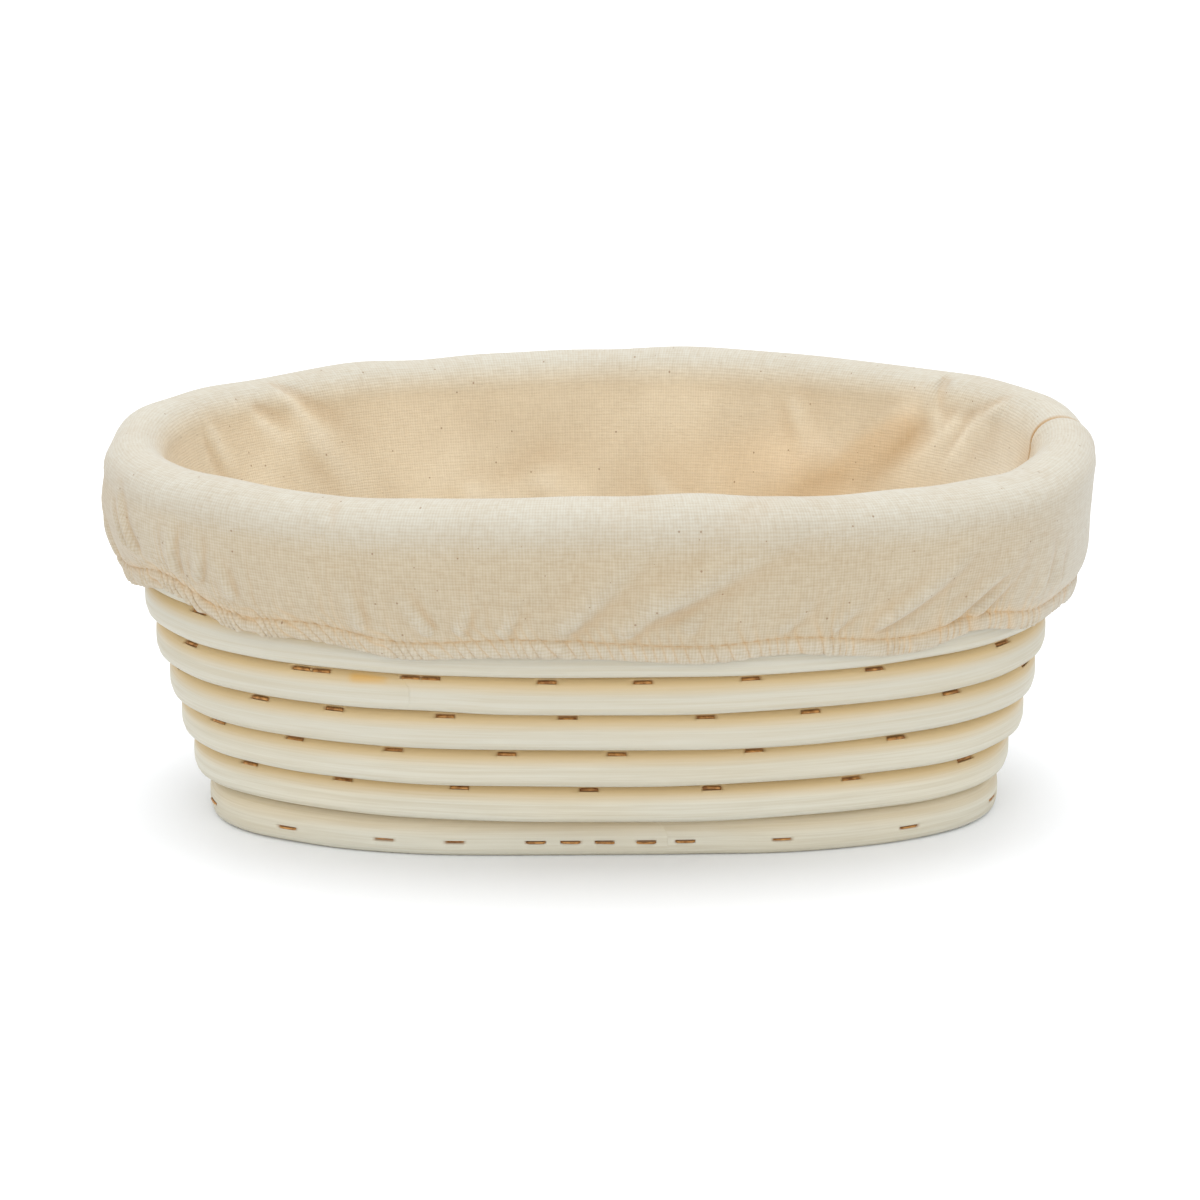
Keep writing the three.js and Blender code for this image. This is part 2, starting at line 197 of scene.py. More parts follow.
fibre_grain, entrance, leave = new_group(
    "fibre_grain",
    [("Vector", VECTOR, None), ("Fibres per mm", VALUE, 1.5), ("Fibre length", VALUE, 40.0)],
    [("Streaks", VALUE), ("Height", VALUE)],
)
stretch = add_node(fibre_grain, "ShaderNodeCombineXYZ", {
    "X": calculate(fibre_grain, "DIVIDE", 1.0, entrance["Fibre length"]),
    "Y": entrance["Fibres per mm"],
    "Z": 1.0,
})
factors = {0: entrance["Vector"], 1: stretch.outputs[0]}
fibre_space = add_node(fibre_grain, "ShaderNodeVectorMath", factors, operation="MULTIPLY").outputs[0]
broad_fibre = add_noise(fibre_grain, fibre_space, scale=0.6, detail=2.0, roughness=0.55)
fine_fibre = add_noise(fibre_grain, fibre_space, scale=2.2, detail=3.0, roughness=0.6)
broad_part = calculate(fibre_grain, "MULTIPLY", broad_fibre, BROAD_SHARE)
streaks = calculate(fibre_grain, "MULTIPLY_ADD", fine_fibre, FINE_SHARE, broad_part)
fibre_grain.links.new(remap(fibre_grain, streaks, *STREAK_RANGE), leave["Streaks"])
fibre_grain.links.new(fine_fibre, leave["Height"])
print("group:", fibre_grain.name)

# %% Weave group
NOISE_SLICE = 3.7  # where the noise is cut through; any number will do
THREAD_WANDER = 0.85  # how far the noise moves a thread aside, in threads
SLUB_SHARE = 0.7
EVEN_SHARE = 0.3
CROSSING_SHARE = 0.14
WOVEN_RANGE = (0.4, 1.6)

plain_weave, entrance, leave = new_group(
    "plain_weave",
    [("Vector", VECTOR, None), ("Threads per mm", VALUE, 1.8), ("Slub length", VALUE, 9.0)],
    [("Threads", VALUE), ("Height", VALUE)],
)
axes = add_node(plain_weave, "ShaderNodeSeparateXYZ", {0: entrance["Vector"]}).outputs
thread_noise = []
thread_wave = []
for across_axis, along_axis in (("X", "Y"), ("Y", "X")):
    across = calculate(plain_weave, "MULTIPLY", axes[across_axis], entrance["Threads per mm"])
    along = calculate(plain_weave, "DIVIDE", axes[along_axis], entrance["Slub length"])
    place = {"X": across, "Y": along, "Z": NOISE_SLICE}
    thread_space = add_node(plain_weave, "ShaderNodeCombineXYZ", place).outputs[0]
    slub = add_noise(plain_weave, thread_space, scale=1.0, detail=2.0, roughness=0.5)
    wander = calculate(plain_weave, "MULTIPLY_ADD", slub, THREAD_WANDER, across)
    thread_angle = calculate(plain_weave, "MULTIPLY", wander, 2 * math.pi)
    thread_noise.append(slub)
    thread_wave.append(calculate(plain_weave, "SINE", thread_angle))
slubs = calculate(plain_weave, "ADD", *thread_noise)
crossing = calculate(plain_weave, "ADD", *thread_wave)
uneven = calculate(plain_weave, "MULTIPLY_ADD", slubs, SLUB_SHARE, EVEN_SHARE)
woven = calculate(plain_weave, "MULTIPLY_ADD", crossing, CROSSING_SHARE, uneven)
plain_weave.links.new(remap(plain_weave, woven, *WOVEN_RANGE), leave["Threads"])
plain_weave.links.new(woven, leave["Height"])
print("group:", plain_weave.name)

# %% Drift group
DRIFT_RANGE = (0.3, 0.7)

tone_drift, entrance, leave = new_group(
    "tone_drift",
    [("Vector", VECTOR, None), ("Patch size", VALUE, 30.0)],
    [("Drift", VALUE)],
)
patch_scale = calculate(tone_drift, "DIVIDE", 1.0, entrance["Patch size"])
patches = add_noise(tone_drift, entrance["Vector"], patch_scale, detail=2.0, roughness=0.5)
tone_drift.links.new(remap(tone_drift, patches, *DRIFT_RANGE), leave["Drift"])
print("group:", tone_drift.name)

# %% [markdown]
# ## The cane finish
#
# The cane is the pale inner pith of rattan, peeled and unvarnished: cream, slightly glossy along its
# fibres, with tan streaks. Painted shade gives it a tan tone where one hoop lies close on the next. Each
# mesh will carry masks of its own. One marks the staple slots, which are painted brown as shade in their
# recess, another marks the painted shade on the shoulder under the next hoop and on the underside, the
# third darkens the upper hoops with painted shade, because they catch more light than the lower ones,
# and the last is a golden stain of sap. A few more helpers come first: they start a material, place a
# group in it, read the mesh's UV map and masks, mix two colours, and add relief that is finer than the
# mesh.

# %% Material helpers
MIX_FACTOR, MIX_FIRST, MIX_SECOND, MIX_RESULT = 0, 6, 7, 2  # a mix node's sockets for colours


def new_material(name):
    """An empty material with a Principled shader: the material, its tree and the shader's inputs."""
    material = bpy.data.materials.new(name)
    material.use_nodes = True
    shader = material.node_tree.nodes["Principled BSDF"]
    return material, material.node_tree, shader.inputs


def use_group(tree, group, inputs):
    """A group placed in a material with its own values: its outputs."""
    return add_node(tree, "ShaderNodeGroup", inputs, node_tree=group).outputs


def uv_place(tree, uv_name):
    """The place in a mesh's UV map, which is in millimetres."""
    return add_node(tree, "ShaderNodeUVMap", uv_map=uv_name).outputs[0]


def mask_of(tree, name):
    """A mask that the mesh carries at its points, from 0 to 1."""
    return add_node(tree, "ShaderNodeAttribute", attribute_name=name).outputs["Fac"]


def mix_colour(tree, factor, first, second):
    """The output of a node that mixes two colours."""
    inputs = {MIX_FACTOR: factor, MIX_FIRST: first, MIX_SECOND: second}
    return add_node(tree, "ShaderNodeMix", inputs, data_type="RGBA").outputs[MIX_RESULT]


def add_bump(tree, shader, height, strength, depth):
    """Relief that is finer than the mesh, on a shader's normals. Its depth is in millimetres."""
    inputs = {"Height": height, "Strength": strength, "Distance": depth * MM}
    tree.links.new(add_node(tree, "ShaderNodeBump", inputs).outputs[0], shader["Normal"])


def colour(red, green, blue):
    """A colour given as a screen shows it, from 0 to 255, in the light-linear values that shaders use."""
    screen = np.array([red, green, blue]) / 255
    linear = np.where(screen > 0.04045, ((screen + 0.055) / 1.055) ** 2.4, screen / 12.92)
    return (*linear.tolist(), 1.0)


print("material helpers ready")

# %% Cane material
CREAM = colour(205, 202, 187)
CREAM_DEEP = colour(205, 199, 180)
# Painted shade that darkens the upper hoops, which catch more light than the lower ones.
UPPER_HOOP_SHADE_CREAM = colour(188, 184, 169)
FIBRE_TAN = colour(178, 165, 136)
# Painted shade: a tan tone on the shoulder under the next hoop and on the hoop's underside.
SHOULDER_SHADE_TAN = colour(198, 172, 124)
# Painted shade: the staple slots are painted brown, as the shade in their recess.
SLOT_SHADE_BROWN = colour(146, 100, 50)
SAP_GOLD = colour(204, 156, 72)
STREAK_STRENGTH = 0.42
CANE_ROUGHNESS = (0.48, 0.66)  # between the streaks, and in them


def cane_material(name, fibres, light, deep):
    """Peeled cane whose grain follows the UV map, with the tones that the mesh's masks give it."""
    material, tree, shader = new_material(name)
    place = uv_place(tree, "cane")
    grain = use_group(tree, fibre_grain, {"Vector": place, "Fibres per mm": fibres, "Fibre length": 45.0})
    drift = use_group(tree, tone_drift, {"Vector": place, "Patch size": 55.0})
    body = mix_colour(tree, drift["Drift"], light, deep)
    # Painted shade that makes the upper hoops as dark as the lower ones, which catch less light.
    hoop_shaded = mix_colour(tree, mask_of(tree, "upper_hoop_shade"), body, UPPER_HOOP_SHADE_CREAM)
    streaks = calculate(tree, "MULTIPLY", grain["Streaks"], STREAK_STRENGTH)
    fibrous = mix_colour(tree, streaks, hoop_shaded, FIBRE_TAN)
    # Painted shade on the shoulder under the next hoop and on the underside.
    shaded = mix_colour(tree, mask_of(tree, "shoulder_shade"), fibrous, SHOULDER_SHADE_TAN)
    stained = mix_colour(tree, mask_of(tree, "sap"), shaded, SAP_GOLD)
    # Painted shade in the staple slots.
    finished = mix_colour(tree, mask_of(tree, "slot_shade"), stained, SLOT_SHADE_BROWN)
    tree.links.new(finished, shader["Base Color"])
    tree.links.new(remap(tree, grain["Streaks"], 0.0, 1.0, *CANE_ROUGHNESS), shader["Roughness"])
    add_bump(tree, shader, grain["Height"], strength=0.25, depth=0.2)
    return material


hoop_cane = cane_material("hoop_cane", 1.3, CREAM, CREAM_DEEP)
print("material:", hoop_cane.name)

# %% [markdown]
# ## A skin over a grid of points
#
# Cane, wire and cloth are all sheets of points in rows and columns, so one function turns any such
# grid into a mesh. It closes the columns into a tube where asked, adds flat ends, writes a UV map in
# millimetres, and stores masks that a material can read. Curves and modifiers could make such shapes too,
# but arrays are quick, and they keep the shape of each piece in a few lines of arithmetic.

# %% Grid mesh helper


def skin(name, grid, material, uv=None, uv_name="cloth", tube=True, capped=False, masks=None):
    """An object whose mesh covers a grid of rows and columns of points in millimetres."""
    rows, columns, _ = grid.shape
    spans = columns if tube else columns - 1
    row, column = np.meshgrid(np.arange(rows - 1), np.arange(spans), indexing="ij")
    corner_rows = np.stack([row, row, row + 1, row + 1], axis=-1).reshape(-1, 4)
    corner_columns = np.stack([column, column + 1, column + 1, column], axis=-1).reshape(-1, 4)
    faces = (corner_rows * columns + corner_columns % columns).tolist()
    if capped:
        faces.append(list(range(columns))[::-1])
        faces.append([(rows - 1) * columns + place for place in range(columns)])
    mesh = bpy.data.meshes.new(name)
    mesh.from_pydata((grid.reshape(-1, 3) * MM).tolist(), [], faces)
    if uv is not None:
        loops = np.zeros((len(mesh.loops), 2))
        side = uv[corner_rows, corner_columns].reshape(-1, 2)
        loops[: len(side)] = side
        mesh.uv_layers.new(name=uv_name).data.foreach_set("uv", loops.astype(np.float32).ravel())
    for mask_name, values in (masks or {}).items():
        attribute = mesh.attributes.new(mask_name, "FLOAT", "POINT")
        attribute.data.foreach_set("value", values.astype(np.float32).ravel())
    mesh.shade_smooth()
    mesh.materials.append(material)
    piece = bpy.data.objects.new(name, mesh)
    bpy.context.scene.collection.objects.link(piece)
    return piece


print("grid helper ready")

# %% [markdown]
# ## Where the staples go
#
# A wire staple about every 30 mm holds each hoop to the one above. Its crown lies on the upper shoulder
# of the hoop, so a row of short brown bars shows just under each course. The lowest hoop has its staples
# at mid height instead, because those go into the floor, and they crowd together at its lapped joint.
# The front of the lowest six hoops is listed, as distances from the middle, and the rest is
# spaced evenly round the back.

# %% Lines and distances


def grid_of(*parts):
    """Points in rows and columns, from one array or number for each coordinate."""
    return np.stack(np.broadcast_arrays(*parts), axis=-1)


def way_along(points):
    """The way along a line of points, from the first to each of them."""
    steps = np.linalg.norm(np.diff(points, axis=0), axis=1)
    return np.concatenate([[0], np.cumsum(steps)])


def follow(way, distances, values):
    """Rows of values that are known at some distances, read at a way between them."""
    return np.stack([np.interp(way, distances, column) for column in values.T], axis=-1)


def wrapped(offset, span):
    """A signed way the short way round something that closes on itself."""
    return np.mod(offset + span / 2, span) - span / 2


print("line helpers ready")

# %% Paths of the hoops
FRONT_LAPS = {1: 0.753, 5: 0.67}  # the two lapped joints in the front wall, in turns
BACK_LAP = 0.25  # and the middle of those in the back
BACK_LAP_SPREAD = 0.04
PATH_POINTS = 6001
SHOULDER_OUT = cane / 3  # the shoulder from the middle of the cane


def hoop_squareness(number):
    """The exponent of a hoop's oval."""
    return FOOT_SQUARENESS if number == 1 else WALL_SQUARENESS


def lap_turn(number):
    """Where a hoop's ends meet: in the front for two of them, spread along the back for the rest."""
    return FRONT_LAPS.get(number, BACK_LAP + BACK_LAP_SPREAD * (number % 3 - 1))


class HoopPath:
    """The middle line of a hoop by distance along it, counted from its lapped joint."""

    def __init__(self, number):
        self.number = number
        self.long = hoop_long[number - 1]
        self.squareness = hoop_squareness(number)
        self.turns = lap_turn(number) + np.linspace(0, 1, PATH_POINTS)
        self.points = grid_of(*oval(self.long, hoop_wide[number - 1], self.squareness, self.turns))
        self.distance = way_along(self.points)
        self.length = self.distance[-1]
        slope = np.gradient(self.points, axis=0)
        slope[[0, -1]] = self.points[1] - self.points[0] + self.points[-1] - self.points[-2]
        self.slope = slope / np.linalg.norm(slope, axis=1, keepdims=True)

    def at(self, distance):
        """Points and outward directions at distances along the hoop."""
        place = np.mod(distance, self.length)
        along = follow(place, self.distance, self.slope)
        outward = np.stack([along[..., 1], -along[..., 0]], axis=-1)
        return follow(place, self.distance, self.points), outward

    def at_turn(self, turn):
        """The distance along the hoop of a share of a turn."""
        return np.interp(np.mod(turn - self.turns[0], 1), self.turns - self.turns[0], self.distance)

    def at_front(self, across):
        """The distance along the hoop of a place in its front, given by its X."""
        share = np.clip(np.asarray(across) / (self.long + SHOULDER_OUT), -1, 1)
        angle = np.arccos(np.sign(share) * np.abs(share) ** (self.squareness / 2))
        return self.at_turn(1 - angle / (2 * np.pi))

    def offset(self, distance, place):
        """The signed way along the hoop from a place on it, the short way round."""
        return wrapped(distance - place, self.length)


hoop_paths = [HoopPath(number + 1) for number in range(hoop_count)]
print("hoops' lengths:", [round(path.length) for path in hoop_paths], "mm")

# %% Staple places
STAPLE_SPACING = 30
FRONT_STAPLES = {
    1: [-88, -71.5, -49.5, -33.5, -15, -7, 1, 10.5, 19.5, 41.5, 70, 88],
    2: [-80, -58.5, -32, -2.5, 25.5, 57, 82.5],
    3: [-86.5, -69, -46.5, -21, 4, 35, 67, 94],
    4: [-76.5, -59.5, -34.5, -7, 24, 47.5, 79, 95.5],
    5: [-66.5, -62, -42, -37.5, -11.5, 10, 34, 61.5, 90],
    6: [-89],
}
HIDDEN_STAGGER = 15.0  # under the liner, every second row starts half a space aside


def staple_places(path):
    """Distances along a hoop of all its staples."""
    front = path.at_front(FRONT_STAPLES.get(path.number, [HIDDEN_STAGGER * (path.number % 2)]))
    first, last = front[0], front[-1]
    gap = np.mod(first - last, path.length) or path.length
    count = round(gap / STAPLE_SPACING)
    behind = last + gap * np.arange(1, count) / count
    return np.mod(np.concatenate([front, behind]), path.length)


hoop_staples = [staple_places(path) for path in hoop_paths]
print("staples per hoop:", [len(places) for places in hoop_staples])

# %% [markdown]
# ## The hoops
#
# A hoop is one length of round cane bent into an oval, with its two ends cut to long slants that lie
# side by side. The mesh is a tube swept along the oval. Extra rings and columns stand close together
# where the staples are, so that a real slot can be pressed into the cane there. The cane wanders a
# little in thickness and in line, because it is a plant, and no two hoops wander alike. Its lower side
# is flatter than its upper side, because it is pressed on the next hoop. A curve with a round bevel
# would give a tube sooner, but it would have neither slots nor slanted ends.

# %% Cane section
CANE_PRESS = 0.16  # how far each cane is pressed into the next
CANE_HALF = cane / 2 + CANE_PRESS
ROUNDED = 2.2  # exponent of the section above its middle, 2 being round
PRESSED = 4.4  # and below it, where the cane is pressed on the next hoop


def cane_radius(angle):
    """The distance from the middle of the cane to its surface."""
    power = np.where(np.sin(angle) > 0, ROUNDED, PRESSED)
    return CANE_HALF * (np.abs(np.cos(angle)) ** power + np.abs(np.sin(angle)) ** power) ** (-1 / power)


print(f"cane section {2 * CANE_HALF:.1f} mm")

# %% Staple slots
SHOULDER_ANGLE = math.radians(42)
FACE_ANGLE = math.radians(-12)
SLOT_HALF_LENGTH = 2.15
SLOT_HALF_WIDTH = 0.5
FACE_SLOT_HALF_WIDTH = 0.34  # of the slots in the lowest hoop's face
SLOT_DEPTH = 0.55
SLOT_SIDE = (1.18, 0.36)  # where a slot's long side starts, and the width of its slope, in half widths
SLOT_END = (1.06, 0.14)  # and the same of its ends, in half lengths


def smooth_step(value):
    """0 below 0, 1 above 1, and smooth between them."""
    share = np.clip(value, 0, 1)
    return share * share * (3 - 2 * share)


def slot_angle(number):
    """Where on a hoop's section its staples are."""
    return FACE_ANGLE if number == 1 else SHOULDER_ANGLE


def slot_half_width(number):
    """Half the width of the slots of a hoop."""
    return FACE_SLOT_HALF_WIDTH if number == 1 else SLOT_HALF_WIDTH


def slot_edge(distance, half, edge):
    """1 in a slot and 0 outside it, with a slope at its edge."""
    start, slope = edge
    return smooth_step((half * start - distance) / (half * slope))


def slot_mask(distance, angle, path, places):
    """How deep in a staple's slot a point of the cane is, from 0 to 1."""
    mask = np.zeros(np.broadcast(distance, angle).shape)
    across = np.abs(angle - slot_angle(path.number)) * CANE_HALF
    side = slot_edge(across, slot_half_width(path.number), SLOT_SIDE)
    for place in places:
        offset = np.abs(path.offset(distance, place))
        mask = np.maximum(mask, slot_edge(offset, SLOT_HALF_LENGTH, SLOT_END) * side)
    return mask


print(f"slots {2 * SLOT_HALF_LENGTH} mm long, {SLOT_DEPTH} mm deep")

# %% Sap stain
STAINED_HOOP = 5
STAIN_MIDDLE = -51.2  # an amber stain beside the fifth hoop's joint, by its X
STAIN_ANGLE = math.radians(32)
STAIN_HALF_LENGTH = 5.2
STAIN_HALF_WIDTH = 0.8
STAIN_TAPER = 0.75
STAIN_WIDTHS = (0.1, 1.2)  # at its point and at its broad end, in half widths
STAIN_FADE = 0.4  # share of its half length


def hump(value, width):
    """1 at 0, and fading to nothing on both sides."""
    return np.exp(-((value / width) ** 2))


def stain_mask(distance, angle, path):
    """A pointed streak of sap under the next hoop."""
    along = path.offset(distance, path.at_front(STAIN_MIDDLE)) / STAIN_HALF_LENGTH
    width = STAIN_HALF_WIDTH * np.clip(1 - STAIN_TAPER * along, *STAIN_WIDTHS)
    across = (angle - STAIN_ANGLE) * CANE_HALF
    return smooth_step((1 - np.abs(along)) / STAIN_FADE) * hump(across, width)


print("sap stain on hoop", STAINED_HOOP)

# %% Rings and section of a hoop
RING_SPACING = 2.2
LAP_SLIT = 0.1
LAP_FADE = 34  # the slant of the cut ends dies away over this length
LAP_RING_SPACING = 0.5
LAP_CLEAR = LAP_FADE / 3  # the extra rings of the slots keep this far from the cut ends
SECTION_POINTS = 26
SLOT_CLEARANCE = 1.6  # half widths of a slot that are kept free of the even points
slot_steps = np.array([-1.25, -1.0, -0.86, -0.4, 0, 0.4, 0.86, 1.0, 1.25])


def hoop_rings(path, places):
    """Distances of a hoop's rings, which stand closer at its staples and at a joint in the front."""
    last_ring = path.length - LAP_SLIT
    rings = np.linspace(0, last_ring, round(path.length / RING_SPACING))
    extra = (places[:, None] + slot_steps * SLOT_HALF_LENGTH).ravel()
    extra = extra[(extra > LAP_CLEAR) & (extra < path.length - LAP_CLEAR)]
    if path.number in FRONT_LAPS:
        close = np.arange(LAP_RING_SPACING, LAP_FADE, LAP_RING_SPACING)
        extra = np.concatenate([extra, close, last_ring - close])
    return np.unique(np.round(np.concatenate([rings, extra]), 3))


def section_angles(number):
    """Angles of the points round a hoop's section, which stand closer at its row of slots."""
    even = np.linspace(-math.pi, math.pi, SECTION_POINTS, endpoint=False)
    middle = slot_angle(number)
    reach = slot_half_width(number) / CANE_HALF
    even = even[np.abs(even - middle) > SLOT_CLEARANCE * reach]
    return np.sort(np.concatenate([even, middle + slot_steps * reach]))


print("rings every", RING_SPACING, "mm")

# %% Tones of a hoop
UPPER_HOOP_SHADE = [0.0, 0.0, 0.35, 0.7, 0.8, 0.9]  # painted shade of the hoops from the lowest, and the rest as the last
TOP_SHADE = (-4, 42)  # the painted shade on the shoulder starts at this angle and deepens over so many degrees
FOOT_SHADE = (70, 18)  # and the same on the underside, counted downwards
FOOT_SHADE_SHARE = 0.6
SHOULDER_SHADE_SHARE = 0.95
FOOT_HOOP_SHADE_SHARE = 0.4  # of the lowest hoop
SAP_SHARE = 0.75
# How strong the painted shade in the staple slots is:
SLOT_SHADE_SHARE = 0.85


def rising(value, start, length):
    """0 up to the start, 1 from that length further on, and smooth between them."""
    return smooth_step((value - start) / length)


def hoop_masks(path, distance, angle, slots):
    """The tones of a hoop's cane at its points, most of them painted shade, and its sap stain."""
    degrees = np.degrees(angle)
    under_hoop = path.number < hoop_count
    # Painted shade on the shoulder under the next hoop, and on the underside.
    top = rising(degrees, *TOP_SHADE) * under_hoop
    foot = FOOT_SHADE_SHARE * rising(-degrees, *FOOT_SHADE)
    share = FOOT_HOOP_SHADE_SHARE if path.number == 1 else SHOULDER_SHADE_SHARE
    stained = path.number == STAINED_HOOP
    return {
        "slot_shade": SLOT_SHADE_SHARE * slots,
        "shoulder_shade": share * np.maximum(top, foot),
        "upper_hoop_shade": np.full(angle.shape, UPPER_HOOP_SHADE[min(path.number, len(UPPER_HOOP_SHADE)) - 1]),
        "sap": SAP_SHARE * stain_mask(distance, angle, path) * stained,
    }


print("ripeness from", min(UPPER_HOOP_SHADE), "to", max(UPPER_HOOP_SHADE))

# %% Hoop pieces
LAP_ANGLE = math.radians(24)
WANDER_OUT = 0.18
WANDER_UP = 0.10
WANDER_THICK = 0.008  # of the cane's radius
THICK_SEED, OUT_SEED, UP_SEED = 40, 60, 80
TABLE_CLEARANCE = 0.02
GRAIN_STEP = 700  # each hoop lies in another stretch of the grain
SHARP_EDGE = math.radians(50)
WAVE_GAIN = 1.4  # brings the spread of a sum of random waves to about 1


def slow_wave(turn, seed, lowest=2, highest=9):
    """A random wave round a hoop that closes on itself, with a spread of about 1."""
    random = np.random.default_rng(seed)
    wave = np.zeros_like(np.asarray(turn, float))
    for count in range(lowest, highest + 1):
        size = random.normal() / math.sqrt(highest - lowest + 1)
        phase = random.uniform(0, 2 * np.pi)
        wave += WAVE_GAIN * size * np.cos(2 * np.pi * count * turn + phase)
    return wave


def make_hoop(number):
    """One hoop of peeled cane, with its slots pressed in and its ends cut to slants."""
    path = hoop_paths[number - 1]
    places = hoop_staples[number - 1] if number < hoop_count else np.array([])
    rings = hoop_rings(path, places)
    section = section_angles(number)
    ring, angle = np.meshgrid(rings, section, indexing="ij")
    turn = np.interp(ring, path.distance, path.turns)
    end_gap = np.minimum(ring, path.length - ring)
    cut = cane_radius(angle) * np.cos(angle) / math.tan(LAP_ANGLE)
    distance = ring + smooth_step(1 - end_gap / LAP_FADE) * cut
    slots = slot_mask(distance, angle, path, places)
    thickness = 1 + WANDER_THICK * slow_wave(turn, THICK_SEED + number, lowest=3, highest=20)
    radius = cane_radius(angle) * thickness - SLOT_DEPTH * slots
    point, outward = path.at(distance)
    out = radius * np.cos(angle) + WANDER_OUT * slow_wave(turn, OUT_SEED + number)
    up = radius * np.sin(angle) + WANDER_UP * slow_wave(turn, UP_SEED + number)
    level = np.maximum(hoop_height[number - 1] + up, TABLE_CLEARANCE)
    grid = np.concatenate([point + outward * out[..., None], level[..., None]], axis=-1)
    uv_angle = np.append(section, section[0] + 2 * math.pi)
    uv = grid_of(rings[:, None] + GRAIN_STEP * number, uv_angle * CANE_HALF)
    masks = hoop_masks(path, distance, angle, slots)
    piece = skin(f"peeled_hoop_{number}", grid, hoop_cane, uv, "cane", capped=True, masks=masks)
    piece.data.set_sharp_from_angle(angle=SHARP_EDGE)
    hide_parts(f"cane_hoop_{number}")
    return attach(piece, "basket")


hoops = [make_hoop(number + 1) for number in range(hoop_count)]
print("hoops:", len(hoops), "with", sum(len(hoop.data.vertices) for hoop in hoops), "points")

# %% [markdown]
# ## The staples
#
# Each staple is a bent wire: a crown about 4 mm wide and two legs that are driven into the cane. One
# wire shape is placed at every staple of a hoop, turned to lie along the cane, with a slight tilt of its
# own, and the staples of a hoop are joined into one piece. The wire is bronze brown and dull.

# %% Staple material
WIRE_LIGHT = colour(194, 142, 80)
WIRE_DARK = colour(134, 88, 44)
WIRE_ROUGHNESS = (0.38, 0.62)  # where it is bright, and where it is tarnished


def piece_place(tree):
    """The place on a piece that has no UV map, in millimetres."""
    place = add_node(tree, "ShaderNodeTexCoord").outputs["Object"]
    inputs = {0: place, "Scale": 1 / MM}
    return add_node(tree, "ShaderNodeVectorMath", inputs, operation="SCALE").outputs[0]


def two_tones(tree, shader, share, first, second, roughness):
    """Two colours, and two values of roughness, that one share mixes."""
    tree.links.new(mix_colour(tree, share, first, second), shader["Base Color"])
    tree.links.new(remap(tree, share, 0.0, 1.0, *roughness), shader["Roughness"])


staple_wire, tree, shader = new_material("staple_wire")
tarnish = use_group(tree, tone_drift, {"Vector": piece_place(tree), "Patch size": 1.6})["Drift"]
two_tones(tree, shader, tarnish, WIRE_LIGHT, WIRE_DARK, WIRE_ROUGHNESS)
shader["Metallic"].default_value = 0.35
print("material:", staple_wire.name)

# %% Staple wire
WIRE_HALF_THICK = 0.26
WIRE_HALF_WIDE = 0.38
WIRE_SIDES = 8
CROWN_HALF = 2.0
CROWN_RISE = 0.03
BEND = 0.6
BEND_STEPS = 4
LEG = 4.0


def bent_wire():
    """A staple's wire as rings of points: X along the crown, Y across it, Z out of the cane."""
    quarter = np.linspace(0, math.pi / 2, BEND_STEPS)
    left = [(-CROWN_HALF, -LEG)]
    left += [(-CROWN_HALF + BEND - BEND * math.cos(a), -BEND + BEND * math.sin(a)) for a in quarter]
    line = np.array(left + [(0.0, CROWN_RISE)] + [(-x, z) for x, z in reversed(left)])
    slope = np.gradient(line, axis=0)
    slope /= np.linalg.norm(slope, axis=1, keepdims=True)
    side = np.stack([-slope[:, 1], slope[:, 0]], axis=-1)
    angle = np.linspace(0, 2 * math.pi, WIRE_SIDES, endpoint=False)
    lift = WIRE_HALF_THICK * np.cos(angle)[None, :, None] * side[:, None, :] + line[:, None, :]
    return grid_of(lift[..., 0], WIRE_HALF_WIDE * np.sin(angle), lift[..., 1])


print("staple wire:", len(bent_wire()), "rings")

# %% Staples of a hoop
CROWN_DEPTH = 0.34  # the crown's middle lies this far under the cane's surface
CROWN_DROP = 0.1  # and this far below the middle of its slot
STAPLE_TILT = 1.5  # spread of the tilts, in degrees
STAPLE_STRAY = 0.05
STAPLE_SEED = 100


def join_pieces(pieces, name):
    """Many small objects made into one piece."""
    with bpy.context.temp_override(active_object=pieces[0], selected_editable_objects=pieces):
        bpy.ops.object.join()
    pieces[0].name = name
    pieces[0].data.name = name
    return pieces[0]


def make_staples(number, places, angle, name, nodes):
    """One piece with a staple at each place of a hoop, at an angle of its section."""
    path = hoop_paths[number - 1]
    random = np.random.default_rng(STAPLE_SEED + number)
    wire = bent_wire() * (1, slot_half_width(number) / SLOT_HALF_WIDTH, 1)
    power = (ROUNDED if angle > 0 else PRESSED) - 1
    face = math.atan2(math.copysign(abs(math.sin(angle)) ** power, angle), math.cos(angle) ** power)
    staples = []
    for place in places:
        point, outward = path.at(place)
        along = np.array([-outward[1], outward[0], 0])
        normal = np.array([*(outward * math.cos(face)), math.sin(face)])
        surface = cane_radius(angle) * np.array([*(outward * math.cos(angle)), math.sin(angle)])
        across = np.cross(normal, along)
        tilt = math.radians(random.normal(0, STAPLE_TILT))
        turned = math.cos(tilt) * along + math.sin(tilt) * across
        middle = np.array([*point, hoop_height[number - 1]]) + surface - normal * CROWN_DEPTH
        middle = middle + across * (random.normal(0, STAPLE_STRAY) - CROWN_DROP * np.sign(across[2]))
        axes = np.stack([turned, np.cross(normal, turned), normal])
        staples.append(skin(f"{name}_one", wire @ axes + middle, staple_wire, capped=True))
    piece = join_pieces(staples, name)
    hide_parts(*nodes)
    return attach(piece, "basket")


print("staples tilt by about", STAPLE_TILT, "degrees")

# %% Staple pieces
HIDDEN_ANGLE = math.radians(62)  # close under the second hoop
HIDDEN_TURNS = np.array([0.135, 0.395, 0.615, 0.895])


def nodes_named(*starts):
    """The frame's nodes whose names start in one of these ways."""
    return [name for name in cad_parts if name.startswith(starts)]


